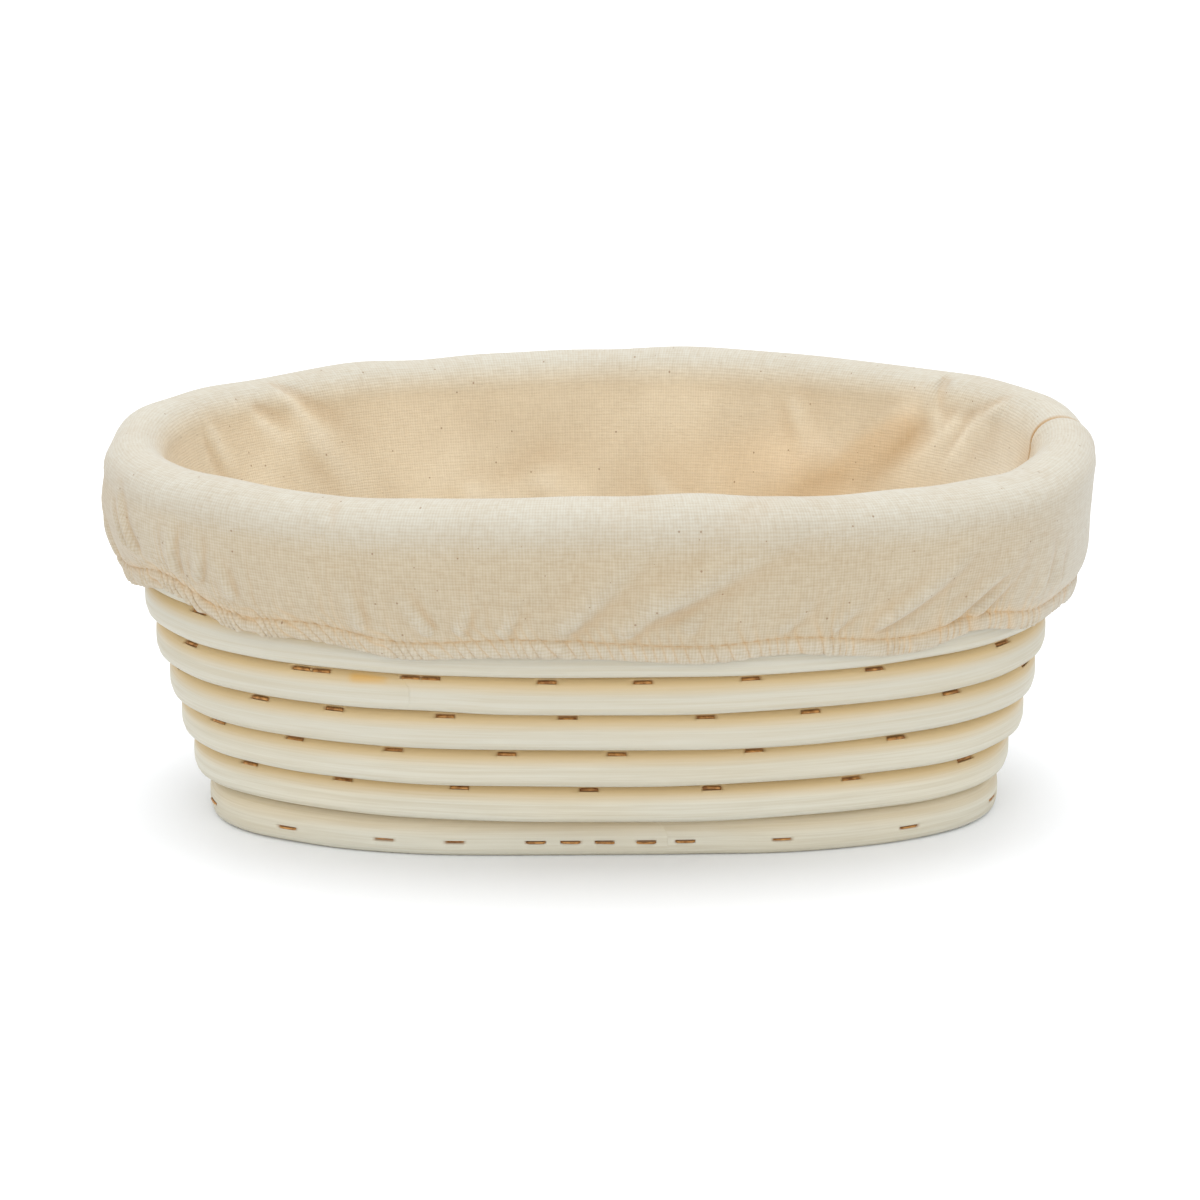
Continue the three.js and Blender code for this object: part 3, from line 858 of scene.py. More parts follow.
staple_rows = []
for number in range(2, hoop_count):
    row_nodes = nodes_named(f"hoop_staple_{number}_") + nodes_named(f"lap_staple_{number}_")
    row_name = f"hoop_{number}_staples"
    staple_rows.append(make_staples(number, hoop_staples[number - 1], SHOULDER_ANGLE, row_name, row_nodes))
floor_nodes = nodes_named("floor_staple_", "lap_staple_1_")
staple_rows.append(make_staples(1, hoop_staples[0], FACE_ANGLE, "floor_staples", floor_nodes))
foot_places = hoop_paths[0].at_turn(HIDDEN_TURNS)
foot_nodes = nodes_named("hoop_staple_1_")
staple_rows.append(make_staples(1, foot_places, HIDDEN_ANGLE, "hoop_1_staples", foot_nodes))
print("staple rows:", len(staple_rows))

# %% [markdown]
# ## The floor
#
# Straight canes lie side by side inside the lowest hoop. They are trimmed to its oval, so each line of
# the section ends where that line meets the oval. A boolean cut would trim them too, but ends that are
# worked out leave a clean mesh. The liner covers them, and they show from below or when it is lifted out.

# %% Floor canes
SLAT_LIGHT = colour(226, 217, 190)
SLAT_DEEP = colour(212, 196, 158)
SLAT_ROOM = 0.4  # between the canes' ends and the hoop
SLAT_SIDE_ROOM = 0.2
SLAT_POINTS = 28
SLAT_RINGS = 61
SLAT_WANDER = 0.12
SLAT_WAVE = 0.3  # share of a slow wave's turn along half a cane
SLAT_SEED = 120
SLAT_GRAIN_STEP = 400
floor_cane = cane_material("floor_cane", 1.1, SLAT_LIGHT, SLAT_DEEP)
inner_long = hoop_long[0] - cane / 2 - SLAT_ROOM
inner_wide = hoop_wide[0] - cane / 2 - SLAT_ROOM


def make_floor_cane(order, node):
    """One straight cane of the floor, trimmed to the oval of the lowest hoop."""
    low, high = (np.array(corner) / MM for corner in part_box(node))
    middle = (low + high) / 2
    half = (high - low) / 2
    angle = np.linspace(0, 2 * math.pi, SLAT_POINTS, endpoint=False)
    across = middle[1] + half[1] * np.cos(angle)
    up = middle[2] + half[2] * np.sin(angle)
    aside = np.abs(across / (inner_wide + SLAT_SIDE_ROOM))
    reach = inner_long * (1 - aside**FOOT_SQUARENESS) ** (1 / FOOT_SQUARENESS)
    along = np.linspace(-1, 1, SLAT_RINGS)[:, None]
    wander = SLAT_WANDER * slow_wave(along * SLAT_WAVE, SLAT_SEED + order, lowest=1, highest=5)
    grid = grid_of(along * reach, across + wander, up)
    uv_around = np.append(angle, 2 * math.pi) * half[1]
    uv = grid_of(along * inner_long + SLAT_GRAIN_STEP * order, uv_around)
    masks = {mask: np.zeros(grid.shape[:2]) for mask in ("slot_shade", "shoulder_shade", "upper_hoop_shade", "sap")}
    piece = skin(f"floor_cane_{order + 1}", grid, floor_cane, uv, "cane", capped=True, masks=masks)
    piece.data.set_sharp_from_angle(angle=SHARP_EDGE)
    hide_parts(node)
    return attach(piece, "basket")


slat_nodes = sorted(nodes_named("floor_slat_"))
floor_canes = [make_floor_cane(order, node) for order, node in enumerate(slat_nodes)]
print("floor canes:", len(floor_canes))

# %% [markdown]
# ## The cotton finish
#
# The liner is unbleached calico, a plain weave of about 15 threads to the centimetre. The threads are
# uneven and the cloth has small brown flecks of cotton seed. Painted light makes it palest along the
# rim, on its ridges and at the ends, and brighter and warmer inside than outside; its ruffle is paler.
# Below the rim it is warmer outside. Painted shade makes it golden in its deepest folds and along its
# gathers, and tan between pleats, in hollows and at the stitches; along the end seam it is tan for the
# seam itself and for the painted shadow in its groove. A picture of cloth would be quicker, but nodes
# have no joins and no edge. The UV map runs round the basket and across the rim in millimetres, so the
# threads follow every fold.

# %% Cotton material
# The pale colours are painted light: lit copies of the cloth, outside and inside.
COTTON_PALE = colour(191, 189, 178)
COTTON_WARM = colour(186, 174, 151)
# Painted light: the inside is brighter and warmer than the outside of the same cloth.
COTTON_INSIDE = colour(222, 208, 182)
COTTON_BRIGHT = colour(232, 226, 210)
COTTON_SHADE = colour(160, 141, 112)
SEED_BROWN = colour(118, 84, 52)
# Tan for the end seam itself, and painted shade in its groove, at the stitches, between pleats and in
# hollows.
SEAM_AND_SHADE_TAN = colour(166, 126, 72)
# Warm painted shade in the deepest folds, beside the end seam and along the gathers.
WARM_SHADE_GOLD = colour(218, 180, 128)
THREAD_STRENGTH = (0.68, 0.25)  # how deep the threads' shade is, outside and inside
LIT_AND_PALE_THREADS = (1.0, 0.7)  # and how much of it is left, on plain cloth and under painted light and paleness
DRIFT_STRENGTH = (0.1, 0.16)
FLECK_CELLS = 0.21  # to the millimetre
FLECK_CHOICE = (0.72, 1.0)  # of the random values of the cells, those that have a fleck
FLECK_SIZE = 0.05  # of a cell
FLECK_STRENGTH = 0.62
COTTON_ROUGHNESS = (0.82, 0.95)


def cotton_material(name):
    """Unbleached cotton whose threads follow the UV map, with the tones that the mesh's masks give it."""
    material, tree, shader = new_material(name)
    place = uv_place(tree, "cloth")
    weave = use_group(tree, plain_weave, {"Vector": place, "Threads per mm": 1.5, "Slub length": 2.6})
    drift = use_group(tree, tone_drift, {"Vector": place, "Patch size": 26.0})
    lit_and_pale_share = mask_of(tree, "lit_and_pale")
    inside = mask_of(tree, "inside")
    # Painted light: the inside is brighter and warmer than the outside of the same cloth.
    plain_tone = mix_colour(tree, inside, COTTON_WARM, COTTON_INSIDE)
    # Painted light: lighter cloth along the rim, on ridges, at the ends and inside near the right-hand
    # end.
    lit_and_pale_tone = mix_colour(tree, inside, COTTON_PALE, COTTON_BRIGHT)
    base = mix_colour(tree, lit_and_pale_share, plain_tone, lit_and_pale_tone)
    # Warm painted shade in deep folds and along the gathers.
    base = mix_colour(tree, mask_of(tree, "golden_shade"), base, WARM_SHADE_GOLD)
    thread_depth = calculate(tree, "MULTIPLY", remap(tree, inside, 0.0, 1.0, *THREAD_STRENGTH),
                             remap(tree, lit_and_pale_share, 0.0, 1.0, *LIT_AND_PALE_THREADS))
    thread_shade = calculate(tree, "MULTIPLY", weave["Threads"], thread_depth)
    drift_depth = remap(tree, inside, 0.0, 1.0, *DRIFT_STRENGTH)
    shade = calculate(tree, "MULTIPLY_ADD", drift["Drift"], drift_depth, thread_shade)
    threads = mix_colour(tree, shade, base, COTTON_SHADE)
    spread = {"Vector": place, "Scale": FLECK_CELLS, "Randomness": 1.0}
    cells = add_node(tree, "ShaderNodeTexVoronoi", spread, voronoi_dimensions="2D").outputs
    chosen = add_node(tree, "ShaderNodeSeparateColor", {0: cells["Color"]}).outputs[0]
    fleck_size = remap(tree, chosen, *FLECK_CHOICE, 0.0, FLECK_SIZE)
    fleck = calculate(tree, "LESS_THAN", cells["Distance"], fleck_size)
    flecked = mix_colour(tree, calculate(tree, "MULTIPLY", fleck, FLECK_STRENGTH), threads, SEED_BROWN)
    # The end seam's tan, and painted shade at the stitches, between pleats and in hollows.
    finished = mix_colour(tree, mask_of(tree, "seam_and_shade"), flecked, SEAM_AND_SHADE_TAN)
    tree.links.new(finished, shader["Base Color"])
    tree.links.new(remap(tree, weave["Threads"], 0.0, 1.0, *COTTON_ROUGHNESS), shader["Roughness"])
    shader["Sheen Weight"].default_value = 0.15
    shader["Sheen Roughness"].default_value = 0.6
    shader["Specular IOR Level"].default_value = 0.25
    add_bump(tree, shader, weave["Height"], strength=0.38, depth=0.25)
    return material


cotton = cotton_material("unbleached_cotton")
print("material:", cotton.name)

# %% [markdown]
# ## The liner's side, before it wrinkles
#
# The side of the liner is one strip of cloth. From the seam at the floor it climbs the inside of the
# wall, rolls over the rim, hangs outside as a skirt, and ends in a hem that is turned up around an
# elastic. Each row below is one step along that way, and each column is one step round the basket.
# The hem doesn't hang level: it rides higher at the left-hand end.

# %% Places round the liner
COLUMNS = 1440
RIM_POINTS = 20001
ROLL = 6.5  # the cloth's outside from the middle of the top hoop
rim_turn = np.linspace(0, 1, RIM_POINTS)
rim_line = grid_of(*oval(hoop_long[-1] + ROLL, hoop_wide[-1] + ROLL, WALL_SQUARENESS, rim_turn))
rim_way = way_along(rim_line)
girth = rim_way[-1]
around = np.arange(COLUMNS) / COLUMNS * girth
turn = np.interp(around, rim_way, rim_turn)


def around_at(turns):
    """The way round the rim of a share of a turn."""
    return np.interp(np.mod(turns, 1), rim_turn, rim_way)


def bell(middle, spread):
    """A smooth hump at a place round the basket, for each column."""
    return hump(wrapped(turn - middle, 1), spread)


def bells(humps):
    """A sum of such humps, each with its height, place and spread."""
    return sum(size * bell(middle, spread) for size, middle, spread in humps)


print(f"{COLUMNS} columns, {girth:.0f} mm round the rim")

# %% Rows of the strip
INSIDE_ROWS = 39
ROLL_ROWS = 18
SKIRT_ROWS = 46
RUFFLE_ROWS = 8
BACK_ROWS = 6
inside_share = np.linspace(0, 1, INSIDE_ROWS, endpoint=False)[:, None]
roll_angle = np.linspace(math.pi, 0, ROLL_ROWS, endpoint=False)[:, None]
skirt_share = np.linspace(0, 1, SKIRT_ROWS)[:, None]
ruffle_share = np.linspace(0, 1, RUFFLE_ROWS + 1)[1:, None]
back_share = np.linspace(0, 1, BACK_ROWS + 1)[1:, None]
stitch_row = INSIDE_ROWS + ROLL_ROWS + SKIRT_ROWS - 1
ruffle_row = stitch_row + 1 + RUFFLE_ROWS // 2
back_row = stitch_row + 1 + RUFFLE_ROWS


def rows_of(*parts):
    """Rows of the strip, from the floor seam to the back of the hem."""
    return np.concatenate([np.broadcast_to(part, (len(part), COLUMNS)) for part in parts])


print("liner strip:", back_row + BACK_ROWS, "rows, with the stitches in row", stitch_row)

# %% Heights of the rows
FLOOR_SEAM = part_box("liner_floor")[1].z / MM
SEAM_DROP = 0.2  # the side starts a little below the seam
STITCH_HEIGHT = 58.6
HEM_LIFTS = [  # height, turn and spread of each lift and dip of the hem
    (6.0, 0.565, 0.06),
    (2.2, 0.587, 0.022),
    (1.2, 0.668, 0.02),
    (-0.3, 0.76, 0.04),
    (-1.6, 0.845, 0.05),
    (-2.4, 0.96, 0.06),
]
HEM_WANDER = 0.5
RUFFLE = 3.8  # the hem's depth under its stitches
TURN_UP = 5.0  # the depth of its turned-up back
TURN_UP_CURL = 0.5  # how far the back's lower edge curls down
TURN_UP_PACE = 2.2  # the back lies close to the cane after 1 / 2.2 of its depth
stitch_height = STITCH_HEIGHT + bells(HEM_LIFTS)
stitch_height = stitch_height + HEM_WANDER * slow_wave(turn, seed=7, lowest=4, highest=14)
wall_start = FLOOR_SEAM - SEAM_DROP
inside_height = wall_start + (rim_height - wall_start) * inside_share
roll_height = rim_height + ROLL * np.sin(roll_angle)
skirt_height = rim_height + (stitch_height - rim_height) * skirt_share
ruffle_height = stitch_height - RUFFLE * ruffle_share
back_height = stitch_height - RUFFLE + TURN_UP * smooth_step(back_share)
back_height = back_height - TURN_UP_CURL * np.sin(math.pi * np.minimum(1, TURN_UP_PACE * back_share))
height = rows_of(inside_height, roll_height, skirt_height, ruffle_height, back_height)
print(f"stitches {stitch_height.min():.1f} to {stitch_height.max():.1f} mm over the table")

# %% How far out the rows stand
LEFT_NARROWNESS = 4  # how closely the fullness keeps to the left-hand end
RIGHT_END = (0.985, 0.055)  # turn and spread
FRONT_CORNER = (0.9, 0.045)
SEAM_TUCK = 2.0  # the side is drawn in at the floor seam
SEAM_TUCK_FADE = 1.6
ALL_ROUND_SWELL = (0.9, (0.0, 0.5), 0.35, (0.7, 0.3))  # how far, where, the share it loses, and where
LEFT_SWELL = (1.0, (0.0, 1 / 3), 0.6, (0.6, 0.4))
RIGHT_SWELL = (1.5, (0.35, 0.5), 0.4, (0.85, 0.15))
CORNER_SWELL = 2.0
CORNER_LOSS = (0.3, 0.7)
RUFFLE_SWELL = 0.35
RUFFLE_ROUND = 0.8  # share of half a circle that its section bends through
HEM_BACK_OUT = 6.1
HEM_END_OUT = 0.8  # the hem's back stands further out at the ends of the basket
HEM_END_START = 0.4  # from this share of its depth
left_fullness = np.minimum(np.cos(2 * np.pi * turn), 0) ** LEFT_NARROWNESS
right_fullness = bell(*RIGHT_END)
corner_fullness = CORNER_SWELL * bell(*FRONT_CORNER)


def swell(size, gain, loss, slack):
    """How far the skirt stands out down its depth: it swells, and loses a share of that again."""
    return size * rising(skirt_share, *gain) * (1 - loss * rising(skirt_share, *slack))


def round_wall(height, out, turns):
    """Points at a height that stand so far out from the middle of the wall."""
    level = np.minimum(height, rim_height)
    x, y = oval(wall_long(level) + out, wall_wide(level) + out, WALL_SQUARENESS, turns)
    return grid_of(x, y, height)


inside_out = -ROLL - SEAM_TUCK * np.exp((FLOOR_SEAM - inside_height) / SEAM_TUCK_FADE)
roll_out = ROLL * np.cos(roll_angle) + corner_fullness * (1 + np.cos(roll_angle)) / 2
skirt_out = ROLL + swell(*ALL_ROUND_SWELL) + left_fullness * swell(*LEFT_SWELL)
skirt_out = skirt_out + right_fullness * swell(*RIGHT_SWELL)
skirt_out = skirt_out + corner_fullness * (1 - rising(skirt_share, *CORNER_LOSS))
ruffle_out = skirt_out[-1] + RUFFLE_SWELL * np.sin(math.pi * RUFFLE_ROUND * ruffle_share)
edge_out = ruffle_out[-1]
back_out = edge_out + (HEM_BACK_OUT - edge_out) * smooth_step(TURN_UP_PACE * back_share)
back_out = back_out + HEM_END_OUT * (left_fullness + right_fullness) * (back_share > HEM_END_START)
out = rows_of(inside_out, roll_out, skirt_out, ruffle_out, back_out)
strip = round_wall(height, out, turn)
print(f"skirt out to {skirt_out.max():.1f} mm from the wall's middle")

# %% The way down the strip
quarter_roll = math.pi / 2 * ROLL
inside_down = -quarter_roll - (rim_height - inside_height)
roll_down = (math.pi / 2 - roll_angle) * ROLL
skirt_down = quarter_roll + rim_height - skirt_height
ruffle_down = quarter_roll + rim_height - ruffle_height
back_down = ruffle_down[-1] + TURN_UP * back_share
down = rows_of(inside_down, roll_down, skirt_down, ruffle_down, back_down)  # 0 at the crest of the rim
skirt_side = down > quarter_roll
under_stitch = stitch_height - height
print(f"down from {down.min():.0f} mm inside to {down.max():.0f} mm outside")

# %% [markdown]
# ## Wrinkles and gathers
#
# Cloth that is too wide for its place folds. A crease is a soft ridge with a hollow beside it, from one
# place on the cloth to another. The creases in the front are listed one by one, and others are strewn with
# a fixed seed. Along the stitched hem the elastic draws the cloth into fine pleats, which fade out a few
# millimetres up the skirt. All of these are heights over the cloth, and the cloth moves by them along
# its own outward direction. Last, the rim itself rises and dips a little. A cloth simulation would find
# folds of its own, but not the folds of this liner, so they are placed.

# %% One crease
CREASE_LEAD = 0.2  # share of its length over which a crease starts
CREASE_TAIL = 0.7  # exponent of its fading towards its end
CREASE_START, CREASE_WIDENING = 0.8, 0.7  # its width at its start, and what it gains
GENTLE_SIDE, STEEP_SIDE = 1.35, 0.8
HOLLOW_DEPTH = 0.45
HOLLOW_PLACE = 1.5


def crease(start, end, width, rise, bend=0.0, lead=CREASE_LEAD):
    """The height of one crease all over the cloth; a short lead makes it strongest near its start."""
    first = around_at(start[0])
    reach = np.array([wrapped(around_at(end[0]) - first, girth), end[1] - start[1]])
    length = np.hypot(*reach)
    direction = reach / length
    side = wrapped(around - first, girth)
    below = down - start[1]
    along = np.clip((side * direction[0] + below * direction[1]) / length, 0, 1)
    across = below * direction[0] - side * direction[1] - bend * length * along * (1 - along)
    share = across / (width * (CREASE_START + CREASE_WIDENING * along))
    ridge = hump(share, np.where(share < 0, GENTLE_SIDE, STEEP_SIDE))
    hollow = HOLLOW_DEPTH * hump(share - HOLLOW_PLACE, 1)
    return rise * smooth_step(along / lead) * (1 - along) ** CREASE_TAIL * (ridge - hollow)


print("crease helper ready")

# %% Creases listed one by one
SKIRT_CREASES = [  # start and end as (turn, millimetres from the crest), width, height
    ((0.572, 24), (0.546, 9), 1.3, 1.0),
    ((0.560, 23), (0.540, 14), 1.1, 0.8),
    ((0.597, 26), (0.600, 11), 1.2, 1.2),
    ((0.609, 26), (0.613, 13), 1.1, 1.0),
    ((0.628, 29), (0.621, 17), 1.4, 0.8),
    ((0.681, 33), (0.676, 17), 1.7, 0.8),
    ((0.705, 33), (0.695, 22), 1.4, 0.8),
    ((0.713, 33), (0.718, 22), 1.5, 0.7),
    ((0.726, 33), (0.732, 22), 1.5, 0.7),
    ((0.739, 33), (0.763, 7), 2.6, 1.25),
    ((0.754, 33), (0.766, 22), 2.0, 0.9),
    ((0.758, 28), (0.813, 3), 3.2, 1.75),
    ((0.772, 33), (0.782, 22), 1.8, 0.5),
    ((0.819, 33), (0.829, 26), 1.3, 0.7),
    ((0.832, 34), (0.874, 14), 1.7, 1.3),
    ((0.864, 35), (0.902, 16), 1.6, 1.2),
    ((0.880, 35), (0.900, 20), 1.4, 1.0),
    ((0.920, 34), (0.914, 17), 1.5, 1.0),
    ((0.938, 34), (0.930, 20), 1.3, 0.8),
    ((0.800, 33), (0.812, 22), 1.5, 0.5),
    ((0.671, 10), (0.663, -1), 1.6, 0.4),
]
INSIDE_CREASES = [
    ((0.116, 0), (0.107, -13), 1.7, -1.5),
    ((0.110, -10), (0.150, -33), 3.2, -1.2),
    ((0.146, -26), (0.215, -44), 5.0, -1.0),
    ((0.077, -8), (0.100, -25), 1.8, 0.9),
    ((0.058, -4), (0.083, -15), 1.6, 0.8),
    ((0.092, -10), (0.112, -22), 1.6, 0.7),
    ((0.382, -1), (0.349, -16), 2.0, -1.0),
    ((0.400, -7), (0.377, -15), 1.8, -0.8),
    ((0.437, -8), (0.418, -24), 1.9, 0.8),
    ((0.372, -14), (0.340, -34), 3.4, 0.7),
    ((0.186, -9), (0.172, -28), 2.4, 0.5),
]
FOLD_SEED = 21
SKIRT_GAIN = 1.35
SKIRT_BEND = 0.15  # spread of the bends, as shares of a crease's length
INSIDE_BEND = 0.1
INSIDE_LEAD = 0.32
random = np.random.default_rng(FOLD_SEED)
folds = np.zeros_like(down)
for start, end, width, rise in SKIRT_CREASES:
    folds += SKIRT_GAIN * crease(start, end, width, rise, random.normal(0, SKIRT_BEND))
for start, end, width, rise in INSIDE_CREASES:
    folds += crease(start, end, width, rise, random.normal(0, INSIDE_BEND), INSIDE_LEAD)
print("listed creases:", len(SKIRT_CREASES), "on the skirt and", len(INSIDE_CREASES), "inside")

# %% Strewn creases
BACK_CREASES = 44
BACK_TURNS = (0.02, 0.52)
BACK_LEAN = 0.012
BACK_TOPS = (12, 27)
BACK_FEET = (32, 34)
BACK_RISES = (0.5, 1.4)
BACK_WIDTHS = (0.9, 1.9)
BACK_BEND = 0.2
STREWN_LEAN = 0.03
INSIDE_STREWN = [  # count, and the ranges of the turns, tops, lengths, widths and heights
    (40, (0.5, 1.0), (-34, -6), (14, 34), (1.8, 4.5), (0.3, 0.8)),
    (16, (0.0, 0.5), (-40, -24), (14, 30), (2.2, 4.5), (0.3, 0.7)),
]
for _ in range(BACK_CREASES):
    place = random.uniform(*BACK_TURNS)
    end_place = place + random.normal(0, BACK_LEAN)
    top = random.uniform(*BACK_TOPS)
    rise = random.uniform(*BACK_RISES)
    foot = random.uniform(*BACK_FEET)
    width = random.uniform(*BACK_WIDTHS)
    folds += crease((place, foot), (end_place, top), width, rise, random.normal(0, BACK_BEND))
for count, turns, tops, lengths, widths, rises in INSIDE_STREWN:
    for _ in range(count):
        place = random.uniform(*turns)
        top = random.uniform(*tops)
        end_place = place + random.normal(0, STREWN_LEAN)
        foot = top - random.uniform(*lengths)
        width = random.uniform(*widths)
        folds += crease((place, top), (end_place, foot), width, random.uniform(*rises), lead=INSIDE_LEAD)
print("strewn creases:", BACK_CREASES, "behind and", sum(row[0] for row in INSIDE_STREWN), "inside")

# %% Loose folds inside
LINER_FOLDS = [  # the cloth's loose folds inside: turn at the rim, turn at the floor, depth
    (0.035, 0.045, 1.8),
    (0.085, 0.125, 2.2),
    (0.165, 0.235, 1.8),
    (0.300, 0.270, 1.2),
    (0.365, 0.335, 1.8),
    (0.415, 0.395, 1.8),
    (0.470, 0.455, 1.6),
    (0.530, 0.550, 2.0),
    (0.600, 0.580, 2.2),
    (0.660, 0.680, 1.6),
    (0.730, 0.720, 2.0),
    (0.790, 0.810, 1.8),
    (0.860, 0.840, 2.2),
    (0.920, 0.935, 2.0),
    (0.985, 0.975, 1.6),
]
LINER_FOLD_HALF = 0.021
FOLD_GROWTH = 0.4  # share of the wall, from the floor, over which a fold grows
FOLD_FADE = 0.5  # and up to the rim, over which it fades
wall_share = np.clip((height - FLOOR_SEAM) / (rim_height - FLOOR_SEAM), 0, 1)
fold_weight = smooth_step(wall_share / FOLD_GROWTH) * smooth_step((1 - wall_share) / FOLD_FADE)
fold_weight = fold_weight * (down < 0)
for at_rim, at_floor, depth in LINER_FOLDS:
    offset = wrapped(turn - at_floor - (at_rim - at_floor) * wall_share, 1)
    folds += depth * fold_weight * hump(offset, LINER_FOLD_HALF)
print("creases up to", round(float(np.abs(folds).max()), 2), "mm high")

# %% Gathers along the hem
PLEATS = 205
PLEAT_LEAN = 0.15  # millimetres aside for each millimetre down
LEFT_PLEAT_LEAN = [(0.85, 0.65, 0.11)]  # more at the left: how much, turn and spread
PLEAT_UNEVEN = 1.5
PLEAT_ROUND = 0.65  # exponent of a pleat's section
PLEAT_MIDDLE = 0.6  # share of its height that lies below the resting cloth
PLEAT_RISE = 0.34
PLEAT_RISE_SPREAD = 0.45
LEFT_PLEAT_RISE = [(0.55, 0.605, 0.05)]
RISE_LIMITS = (-1.5, 1.5)
PLEAT_REACH = 3.2  # how far the pleats reach up the skirt
PLEAT_REACH_SPREAD = 1.8
REACH_LIMITS = (-1.2, 2)
FLARE_START, FLARE_GAIN = 0.7, 0.5  # of the pleats' height, from the stitches down to the edge
PLEAT_LINE = 0.22  # width of the dark line between two pleats
STITCH_PULL = 0.35
STITCH_PULL_HALF = 0.6
pleat_lean = PLEAT_LEAN + bells(LEFT_PLEAT_LEAN)
leaning = around - pleat_lean * np.clip(under_stitch, -RUFFLE, RUFFLE)
pleat_phase = math.pi * PLEATS * leaning / girth
pleat_phase = pleat_phase + PLEAT_UNEVEN * slow_wave(turn, seed=31, lowest=20, highest=60)
pleat = np.abs(np.sin(pleat_phase)) ** PLEAT_ROUND
rise_wave = np.clip(slow_wave(turn, seed=33, lowest=8, highest=50), *RISE_LIMITS)
reach_wave = np.clip(slow_wave(turn, seed=35, lowest=10, highest=70), *REACH_LIMITS)
pleat_rise = PLEAT_RISE * (1 + PLEAT_RISE_SPREAD * rise_wave) + bells(LEFT_PLEAT_RISE)
pleat_reach = PLEAT_REACH + PLEAT_REACH_SPREAD * reach_wave
fade_up = np.exp(-np.maximum(0, -under_stitch) / pleat_reach) * skirt_side
flare = FLARE_START + FLARE_GAIN * np.clip(under_stitch / RUFFLE, 0, 1)
gathers = pleat_rise * (pleat - PLEAT_MIDDLE) * fade_up * flare
stitch_pull = -STITCH_PULL * hump(under_stitch, STITCH_PULL_HALF) * skirt_side
pleat_lines = hump(np.sin(pleat_phase), PLEAT_LINE) * fade_up**2
print("gathers:", PLEATS, "pleats along the hem")

# %% Sagging and the end seam
SAG_WAVES = 70
SAG_HEIGHT = 0.025
SAG_COUNTS = (2, 26)  # waves round the basket
SAG_LENGTH = 42  # of the waves across the strip
SAG_PHASES = (0, 6.28)
SEAM_TURN = 0.012
SEAM_DEPTH, SEAM_HALF = 1.1, 0.9
SEAM_PUFF, SEAM_PUFF_SIDE, SEAM_PUFF_HALF = 0.5, 4.5, 3.5  # of the cloth beside the seam
SEAM_END = (-75, 10)  # where the groove ends, inside near the floor
sag = np.zeros_like(down)
for _ in range(SAG_WAVES):
    count = random.integers(*SAG_COUNTS)
    pull = random.normal(0, 2 * np.pi / SAG_LENGTH)
    size = SAG_HEIGHT * random.normal()
    phase = random.uniform(*SAG_PHASES)
    sag += size * np.cos(2 * np.pi * count * around / girth + pull * down + phase)
seam_side = wrapped(around - around_at(SEAM_TURN), girth)
seam_groove = SEAM_PUFF * hump(seam_side + SEAM_PUFF_SIDE, SEAM_PUFF_HALF)
seam_groove = (seam_groove - SEAM_DEPTH * hump(seam_side, SEAM_HALF)) * rising(down, *SEAM_END)
print("sagging up to", round(float(np.abs(sag).max()), 2), "mm")

# %% Wrinkled strip
BACK_SHARES = (0.9, 0.2)  # how much of the edge's folds the hem's back keeps, from first row to last
RIM_WAVES = [  # height, turn and spread of each rise and dip
    (0.5, 0.61, 0.04),
    (1.6, 0.775, 0.044),
    (-1.05, 0.9, 0.06),
    (1.4, 0.225, 0.055),
    (-0.9, 0.4, 0.06),
]
RIM_WANDER = 0.15
RIM_REACH = 14


def outward_normals(grid):
    """Unit normals of a grid that closes on itself round its columns, pointing out of the cloth."""
    around_step = np.roll(grid, -1, axis=1) - np.roll(grid, 1, axis=1)
    down_step = np.gradient(grid, axis=0)
    normal = np.cross(down_step, around_step)
    return normal / np.linalg.norm(normal, axis=-1, keepdims=True)


moved = folds + gathers + stitch_pull + sag + seam_groove
moved[back_row:] = moved[back_row - 1] * np.linspace(*BACK_SHARES, BACK_ROWS)[:, None]
normals = outward_normals(strip)
normals[back_row:] = normals[back_row - 1]
wrinkled = strip + normals * moved[..., None]
rim_wave = bells(RIM_WAVES) + RIM_WANDER * slow_wave(turn, seed=37, lowest=3, highest=12)
wrinkled[..., 2] += rim_wave * hump(down, RIM_REACH)
print("cloth moved by up to", round(float(np.abs(moved).max()), 2), "mm")

# %% [markdown]
# ## Tones and thickness of the liner's side
#
# The masks follow the form. Painted light makes the cloth lighter on its ridges, along the rim, at the
# ends and inside near the right-hand end, and its ruffle is paler. Painted shade makes it tan in the
# lines between pleats, in hollows and at the stitches, and along the end seam it is tan for the seam and
# for its painted shadow. Warm painted shade makes it golden in the deepest fold inside, near the end
# seam and along the gathers at both ends.

# %% Where painted light makes the cloth pale, and the pale ruffle
RIM_FADE_OUTSIDE = (4, 12.5)  # where the rim's painted light starts to fade, and over which length
RIM_FADE_INSIDE = (3, 7.5)
LIT_ENDS = [(0.85, 0.975, 0.075), (0.35, 0.565, 0.06)]  # strength, turn and spread
LIT_ENDS_START = (0, 6)
LIT_INSIDE_END = [(0.75, 0.05, 0.06)]
LIT_INSIDE_END_START = (-34, 14)
RUFFLE_PALENESS = 0.42
RUFFLE_PALENESS_START = (0.4, 1)
DARK_RUFFLE = (0.6, 0.07)  # turn and spread of the part that isn't pale
RIDGE_HIGHLIGHT = 0.35
RIDGE_HEIGHT = 0.25  # over its surroundings, where a ridge's painted highlight is strongest
SOFTENING = 14


def soften(values, times):
    """A grid of values smoothed over its neighbours, round the basket and across the strip."""
    for _ in range(times):
        values = 0.5 * values + 0.25 * (np.roll(values, 1, axis=1) + np.roll(values, -1, axis=1))
        edged = np.pad(values, ((1, 1), (0, 0)), mode="edge")
        values = 0.5 * values + 0.25 * (edged[:-2] + edged[2:])
    return values


crest = moved - soften(moved, SOFTENING)
